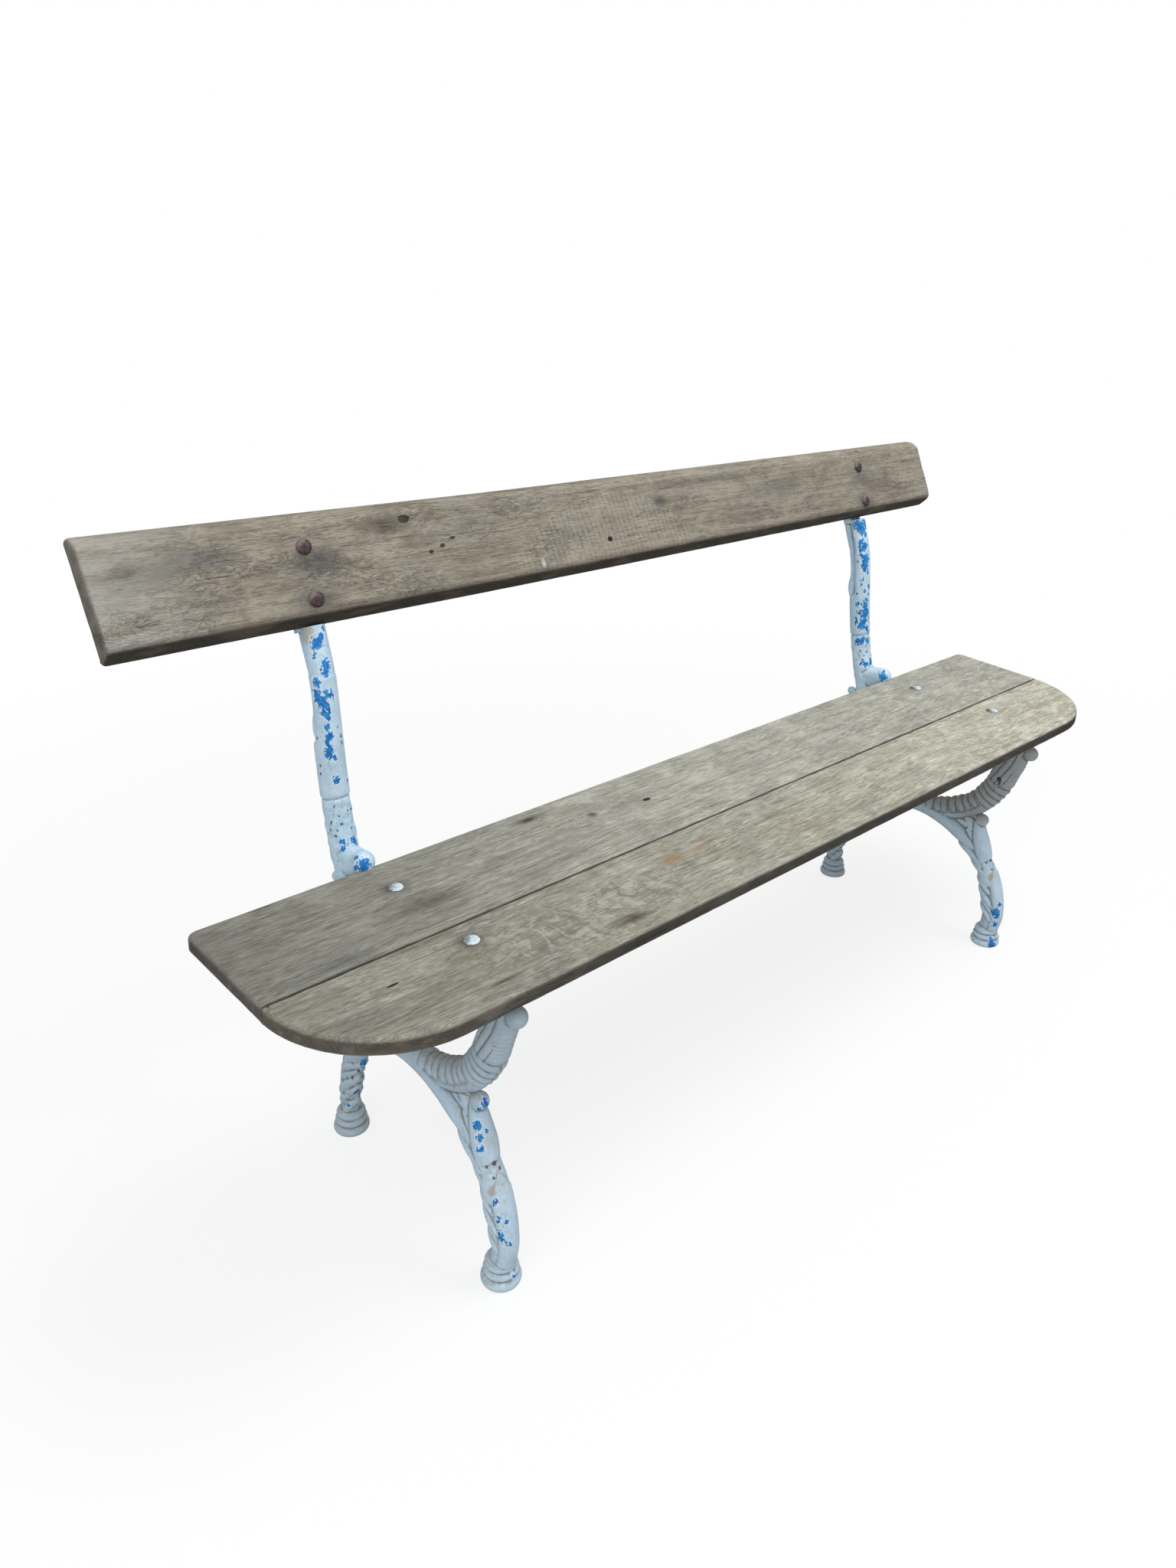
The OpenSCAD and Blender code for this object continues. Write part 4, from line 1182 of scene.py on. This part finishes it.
def limb_solids(limbs):
    """The tubes of the casting, cut back where ridges stand, and the ridges on them."""
    tube, ridge = tube_recipe(), ridge_recipe()
    solids = []
    for name, pared in (("leg", leg_pared), ("bow", bow_pared), ("band", None), ("strap", None)):
        points, faces = limbs[name].grown(tube, sides=TUBE_SIDES)
        if pared:
            at = limbs[name].nearest(points)
            row = at["row"]
            inward = limbs[name].middle[row] - points[:, 1:]
            inward = np.column_stack([-points[:, 0], inward])
            inward /= np.maximum(np.linalg.norm(inward, axis=1), 1e-6)[:, None]
            points = points + inward * pared(at)[:, None]
        solids.append((points, faces))
    for (name, first, pitch, count, middle, reach, slide, bend, radius, sink, lift, blunt,
         unevenness) in RIDGES:
        solids.append(limbs[name].grown(
            ridge, first=first * MM, pitch=pitch * MM, count=count,
            middle_angle=math.radians(middle), reach_round=math.radians(reach), slide=slide * MM,
            bend=float(bend), bar_radius=radius * MM, sink=sink * MM, lift=lift * MM,
            bluntness=float(blunt), unevenness=unevenness, seed=7))
    return solids


# In the casting's middle plane, as depth and height: the feet, the nub on the front one, the
# heel behind the upright, and the rods that fill the corners where limbs meet or that join the
# boss to the upright, each from its two ends and the radius at each
FRONT_FOOT_Y, REAR_FOOT_Y = -89, 249
NUB = ((-104, 20), (-114, 20), 5, 3.8)
HEEL_ROOT, HEEL_AT = (225, 398), (250, 398)
WEBS = [
    ((-36, 210), (-22, 234), 10, 10), ((-26, 218), (3, 221), 10, 6),
    ((-37, 236), (-30, 247), 8, 10), ((-31, 211), (-46, 182), 10, 12),
    (BOSS_AT, (226, 440), BOSS_R, BOSS_R + 3), ((190, 440), (224, 428), BOSS_R, BOSS_R + 3),
]


def casting_shape():
    """One end casting about its own middle plane, in one skin."""
    leg, bow = Limb(LEG_KNOTS), Limb(BOW_KNOTS)
    limbs = {"leg": leg, "bow": bow, "band": Limb(BAND_KNOTS), "strap": Limb(STRAP_KNOTS)}
    lug_top = BACK_BOLT_HIGH + BEARER_W / 2
    solids = limb_solids(limbs) + [
        foot(FRONT_FOOT_Y), foot(REAR_FOOT_Y), rod(*NUB), ball(LOW_BALL_AT, LOW_BALL_R),
        ball(KNOB_AT, KNOB_R), ball(BOSS_AT, BOSS_R + 1.5), *(rod(*web) for web in WEBS),
        ball(HEEL_AT, HEEL_R), rod(HEEL_ROOT, HEEL_AT, HEEL_R - 0.5, HEEL_R - 0.5),
        plate((-BEARER_W / 2, -96, BEARER_Z - BEARER_THICK), (BEARER_W / 2, 206, BEARER_Z)),
        plate((-BEARER_W / 2, BACK_THICK, -BACK_DROP - 3), (BEARER_W / 2, LUG_W, lug_top),
              -RECLINE, (BACK_Y, BACK_Z)),
    ]
    shape = placed("casting", *joined(solids))
    reshape(shape, "REMESH", mode="VOXEL", voxel_size=SKIN_CELL * MM)
    carve(shape, leg, bow)
    reshape(shape, "DECIMATE", ratio=min(1, MOST_TRIANGLES / (2 * len(shape.data.polygons))))
    return shape


def carve(shape, leg, bow):
    """Softens the skin where limbs meet and at the boss, and adds the finer relief."""
    points, edges = points_of(shape), edges_of(shape)
    on_leg, on_bow = leg.nearest(points), bow.nearest(points)
    gap = np.minimum(np.abs(on_leg["reach"] - 1), 1) + np.minimum(np.abs(on_bow["reach"] - 1), 1)
    from_boss = np.linalg.norm(points - (0, BOSS_AT[0] + 20, BOSS_AT[1]), axis=1)
    soften = np.maximum(np.clip(1.1 - 2.4 * gap, 0.05, 1), 1 - ease(22, 30, from_boss))[:, None]
    on_ground = points[:, 2:] < 1.5
    for _ in range(SOFTENING_STEPS):
        moved = points + soften * SOFTENING * (neighbour_mean(points, edges) - points)
        points = np.where(on_ground, points, moved)
    set_points(shape, points)
    relief = np.where(on_leg["reach"] < on_bow["reach"], leg_relief(on_leg), bow_relief(on_bow))
    relief *= 1 - ease(1.12, 1.3, np.minimum(on_leg["reach"], on_bow["reach"]))
    relief += 0.22 * mottle(points, 9, 3) * ease(30, 45, points[:, 2])
    points = points + normals_of(shape) * relief[:, None]
    points[:, 2] = np.maximum(points[:, 2], 0)
    set_points(shape, points)


# Steps of smoothing after which fine and broad hollows are measured, and the depth of each
FINE_STEPS, BROAD_STEPS, FINE_DEPTH, BROAD_DEPTH = 5, 32, 0.35, 1.3
# Chips on the hidden sides: from which height to which, and how many, and their least and most radius
HIDDEN_CHIPS = ((0, 30, 5), (30, 180, 12), (180, 400, 9), (420, 735, 34))
CHIP_RADIUS = (1.4, 5.0)


def hollows(piece):
    """From -1 on a ridge to 1 in a groove, measured against the surface smoothed around it."""
    points, edges, normals = points_of(piece), edges_of(piece), normals_of(piece)
    smooth, found = points, 0
    for step in range(1, BROAD_STEPS + 1):
        smooth = smooth + 0.7 * (neighbour_mean(smooth, edges) - smooth)
        if step in (FINE_STEPS, BROAD_STEPS):
            depth = ((smooth - points) * normals).sum(axis=1)
            found = found + depth / (FINE_DEPTH if step == FINE_STEPS else BROAD_DEPTH)
    return np.clip(0.7 * found, -1, 1)


def chip_reach(points, chips):
    """1 in the middle of the nearest chip, 0.5 at its edge, and 0 away from it."""
    reach = np.zeros(len(points))
    for x, y, z, radius in chips:
        apart = np.linalg.norm((points - (x, y, z)) * (1, 1, 0.8), axis=1)
        reach = np.maximum(reach, 1 - apart / (2 * radius))
    return reach


def scattered_chips(points, normals, x, seed):
    """Chips like the known ones on the sides that no picture shows, mostly on the uprights."""
    chance = np.random.default_rng(seed)
    sight = np.array(VIEW_FROM) - (points + (x, 0, 0))
    unseen = (normals * sight).sum(axis=1) < 0
    chips = []
    for low, high, count in HIDDEN_CHIPS:
        at = np.flatnonzero(unseen & (points[:, 2] > low) & (points[:, 2] < high))
        for i in chance.choice(at, count):
            chips.append((*points[i], chance.uniform(*CHIP_RADIUS)))
    return chips


def rust_pit(points, normals):
    """A lens-shaped pit in the skin, with a raised rim."""
    away = np.linalg.norm((points - PIT_AT) / PIT_SIZE, axis=1)
    sunk = PIT_DEPTH * (1 - ease(0.55, 1.0, away)) - PIT_RIM * between(0.95, 1.3, 0.2, away)
    return points - normals * sunk[:, None]


# The photograph's view: turned and tilted in degrees, from a place in millimetres
VIEW_TURN, VIEW_TILT, VIEW_ROLL = -42.3604, 19.1324, 1.2248
VIEW_FROM = (-1208.2, -898.3, 1117.4)
VIEW_SIZE = (1536, 2048)
VIEW_FOCUS, VIEW_MIDDLE = 1456.76, (750.30, 887.54)

casting, paint = casting_shape(), chipped_paint()
skin, facing, hollow = points_of(casting), normals_of(casting), hollows(casting)
for x, node, known, rust, seed, grimy_and_shaded, soot_and_shade in (
        (-CASTING_X, "left_end_casting", LEFT_CHIPS, SPECKS, 21, 0.7, 0.4),
        (CASTING_X, "right_end_casting", RIGHT_CHIPS, SPECKS + PIT_RUST, 22, 1, 0.94)):
    pitted = rust_pit(skin, facing) if x > 0 else skin
    piece = placed(node + "_iron", pitted + (x, 0, 0), faces_of(casting))
    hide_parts(node)
    chips = known + scattered_chips(skin, facing, x, seed)
    # Dirt and painted shade under the seat and on the rear leg, much stronger on the far casting, whose bow
    # lies in deeper shade
    under_seat = soot_and_shade * between(*UNDER_SEAT, 14, skin[:, 2]) * (skin[:, 1] < 120)
    rear_leg = 0.3 * between(*REAR_LEG, 20, skin[:, 2]) * (skin[:, 1] > 150)
    # The hollows hold dirt that is partly painted shade in the grooves, a little stronger on the far
    # casting
    for name, values in (
            ("hollow", hollow * grimy_and_shaded), ("chip", chip_reach(skin, chips)),
            ("speck", chip_reach(skin, rust)), ("tan", chip_reach(skin, TAN_SPOTS)),
            ("topside", facing[:, 2]), ("grime", under_seat + rear_leg)):
        record_on(piece, name, values)
    piece.data.materials.append(paint)
    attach(piece, "root")
bpy.data.objects.remove(casting)

# The fixings

THREAD_CUTS, THREAD_PITCH, THREAD_DEPTH = 14, 1.25, 0.62
# Which side of a bolt's head is marked: towards the left, the back and the top. There the seat bolts are
# worn and painted in shade, and the back bolts painted with a highlight
UPPER_LEFT_SIDE = (-0.05, 0.05, 0.05)


def lathed(profile, around=48, sides=0, hole=False):
    """Closed solid from (radius, height) pairs about the Z axis, with flats when it has sides."""
    points = []
    for radius, height in profile:
        for a in round_angles(around):
            r = radius
            if sides:
                step = 2 * math.pi / sides
                r = min(radius, NUT_W / 2 / math.cos(a % step - step / 2))
            points.append((r * math.cos(a), r * math.sin(a), height))
    if not hole:
        return closed_skin(points, around)
    return points, side_faces(len(profile), around, True)


def coach_bolt(grip, head):
    """Domed bolt, its square neck, and a cut thread towards its end. The head's face is at 0."""
    half = BOLT_D / 2
    profile = [(half - 0.9, -grip)]
    for cut in range(THREAD_CUTS):
        z = -grip + 0.8 + cut * THREAD_PITCH
        profile += [(half, z), (half, z + 0.3), (half - THREAD_DEPTH, z + 0.75)]
    profile += [(half, profile[-1][1] + 0.6), (half, 0)]
    neck = plate((-half, -half, -NECK_H), (half, half, 0.5))
    return joined([lathed(profile + head), neck])


def domed_head(rise, dish):
    """Head of a bolt from its rim to its middle, with an optional shallow dish."""
    rim = [(HEAD_D / 2 - 0.5, 0), (HEAD_D / 2, 0.35), (HEAD_D / 2 - 0.05, 0.8)]
    face = []
    for share in np.linspace(0.94, 0.05, 12):
        sunk = dish * (1 - ease(0.2, 0.75, share))
        face.append((HEAD_D / 2 * share, 0.8 + (rise - 0.8) * math.sqrt(1 - share * share) - sunk))
    return rim + face


def washer():
    inner, outer = BOLT_D / 2 + NUT_GAP, WASHER_D / 2
    return lathed([
        (inner, 0.1), (outer - 0.3, 0), (outer, 0.3), (outer, WASHER_T - 0.3),
        (outer - 0.3, WASHER_T), (inner, WASHER_T - 0.1)], hole=True)


def nut():
    inner, corner = BOLT_D / 2 + NUT_GAP, NUT_W / 2 / math.cos(math.pi / 6)
    return lathed([
        (inner, 0.4), (inner + 0.5, 0), (NUT_W / 2 - 0.2, 0), (corner, 0.9), (corner, NUT_H - 0.9),
        (NUT_W / 2 - 0.2, NUT_H), (inner + 0.5, NUT_H), (inner, NUT_H - 0.4)], 72, 6, True)


def copies_recipe():
    """Copies of one shape, one at each place, tilted alike and each turned by chance."""
    r = Recipe("copies_at_places", [
        ("Shape", "Object"), ("Tilt", "Float"), ("Loose turn", "Float"), ("Seed", "Int")])
    shape = r.node("GeometryNodeObjectInfo", None, {"Object": r.given("Shape")}, "Geometry")
    chance = r.chance(r.node("GeometryNodeInputIndex"), r.given("Seed"))
    tilt = r.node("FunctionNodeEulerToRotation", None, {"Euler": r.whole(r.given("Tilt"))})
    spin = r.node("FunctionNodeAxisAngleToRotation", None, {
        "Axis": (0.0, 0.0, 1.0), "Angle": chance * r.given("Loose turn")})
    both = r.node("FunctionNodeRotateRotation", {"rotation_space": "LOCAL"}, {
        "Rotation": tilt, "Rotate By": spin})
    return r.ended(r.node("GeometryNodeInstanceOnPoints", None, {
        "Points": r.given("Geometry"), "Instance": shape, "Rotation": both}))


def fixings(name, solid, places, tilt, loose, finish):
    """One set of equal fixings, which stands for the model's own."""
    points, faces = solid
    shape = placed(name + "_shape", np.asarray(points) - START, faces, False)
    piece = placed(name, places, [])
    copies.run_on(piece, shape=shape, tilt=math.radians(tilt), loose_turn=math.radians(loose),
                  seed=4, material=finish)
    bpy.data.objects.remove(shape)
    at = points_of(piece)
    apart = at[:, None, :] - np.array(places)[None]
    nearest = apart[np.arange(len(at)), np.linalg.norm(apart, axis=2).argmin(axis=1)]
    record_on(piece, "rubbed", nearest @ UPPER_LEFT_SIDE)
    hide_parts(*(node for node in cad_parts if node.startswith(name[:-1])))
    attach(piece, "root")


UNDER_Z = BEARER_Z - BEARER_THICK
copies = copies_recipe()
steel = dull_steel()


def seat_places(z):
    return [(x, y, z) for x in (-CASTING_X, CASTING_X) for y in (-FRONT_BOLT_Y, REAR_BOLT_Y)]


def back_places(through):
    heights = (BACK_BOLT_LOW, BACK_BOLT_HIGH)
    return on_back([(x, through, up) for x in (-CASTING_X, CASTING_X) for up in heights])


seat_grip = SEAT_THICK + BEARER_THICK + WASHER_T + NUT_H + BOLT_TAIL
back_grip = LUG_W + WASHER_T + NUT_H + BOLT_TAIL
fixings("seat_bolts", coach_bolt(seat_grip, domed_head(2.6, 1.1)), seat_places(SEAT_HEIGHT),
        0, 180, worn_bolt_paint())
fixings("back_bolts", coach_bolt(back_grip, domed_head(HEAD_H, 0)), back_places(0),
        90 - RECLINE, 180, rusted_bolt())
fixings("seat_washers", washer(), seat_places(UNDER_Z - WASHER_T), 0, 180, steel)
fixings("back_washers", washer(), back_places(LUG_W), -90 - RECLINE, 180, steel)
fixings("seat_nuts", nut(), seat_places(UNDER_Z - WASHER_T - NUT_H), 0, 30, steel)
fixings("back_nuts", nut(), back_places(LUG_W + WASHER_T), -90 - RECLINE, 30, steel)


# Floor, lamps and camera

WHITE, BOUNCED_SKY = (1.0, 1.0, 1.0, 1.0), (0.94, 0.97, 1.0, 1.0)
SEEN_FLOOR, BOUNCED_FLOOR = (0.93, 0.93, 0.93, 1.0), (0.46, 0.46, 0.46, 1.0)
FLOOR_SIZE, FADE_START, FADE_END, SKY_LIGHT = 30, 900, 2400, 0.5
# Each lamp: name, place and width in metres, and power
LAMPS = (("key", (1.0, -1.0, 3.4), 1.6, 70), ("fill", (-2.6, -1.4, 2.0), 2.4, 40))


def in_sight(network):
    """1 for what the camera sees straight away, and 0 for light that bounces."""
    return network.node("ShaderNodeLightPath", output="Is Camera Ray")


def studio():
    world = bpy.data.worlds.new("studio")
    bpy.context.scene.world = world
    world.use_nodes = True
    sky = Network()
    sky.tree = world.node_tree
    seen = in_sight(sky)
    glow = world.node_tree.nodes["Background"]
    sky.feed(glow.inputs["Color"], sky.blend(seen, BOUNCED_SKY, WHITE))
    sky.feed(glow.inputs["Strength"], seen * (1 - SKY_LIGHT) + SKY_LIGHT)
    bpy.ops.mesh.primitive_plane_add(size=FLOOR_SIZE)
    floor = bpy.context.object
    floor.name = "floor"
    f = Finish("pale_floor")
    away = f.vector("LENGTH", f.place, output="Value")
    seen = in_sight(f)
    for name, value in (("Base Color", f.blend(seen, BOUNCED_FLOOR, SEEN_FLOOR)),
                        ("Roughness", 0.9), ("Specular IOR Level", 0.1)):
        f.feed(f.surface.inputs[name], value)
    white = f.node("ShaderNodeEmission", None, {"Color": WHITE, "Strength": 1.0})
    both = f.node("ShaderNodeMixShader", None, {
        0: (away.rise(FADE_START, FADE_END) * 0.2 + 0.8) * seen, 1: Link(f, f.surface.outputs[0]),
        2: white})
    f.feed(f.tree.nodes["Material Output"].inputs["Surface"], both)
    floor.data.materials.append(f.material)
    for name, place, size, power in LAMPS:
        lamp = bpy.data.lights.new(name, "AREA")
        lamp.size, lamp.energy = size, power
        holder = bpy.data.objects.new(name, lamp)
        bpy.context.scene.collection.objects.link(holder)
        holder.location = place
        aim = Vector((0, 0, 0.4)) - Vector(place)
        holder.rotation_euler = aim.to_track_quat("-Z", "Y").to_euler()
    bpy.context.scene.view_settings.view_transform = "Standard"


def camera():
    turn, tilt, roll = (math.radians(a) for a in (VIEW_TURN, VIEW_TILT, VIEW_ROLL))
    back = Vector((math.sin(turn) * math.cos(tilt), -math.cos(turn) * math.cos(tilt), math.sin(tilt)))
    right = (-back).cross(Vector((0, 0, 1))).normalized()
    up = right.cross(-back)
    right, up = (math.cos(roll) * right + math.sin(roll) * up,
                 -math.sin(roll) * right + math.cos(roll) * up)
    lens = bpy.data.cameras.new("photo")
    lens.sensor_fit = "VERTICAL"
    lens.sensor_height = 36
    lens.lens = 36 * VIEW_FOCUS / VIEW_SIZE[1]
    lens.shift_x = (VIEW_SIZE[0] / 2 - VIEW_MIDDLE[0]) / VIEW_SIZE[1]
    lens.shift_y = (VIEW_MIDDLE[1] - VIEW_SIZE[1] / 2) / VIEW_SIZE[1]
    lens.clip_start = 0.05
    view = bpy.data.objects.new("photo", lens)
    bpy.context.scene.collection.objects.link(view)
    place = (np.array(VIEW_FROM) + START) * MM
    view.matrix_world = Matrix.LocRotScale(
        Vector(place), Matrix((right, up, back)).transposed().to_quaternion(), None)
    bpy.context.scene.camera = view


studio()
camera()
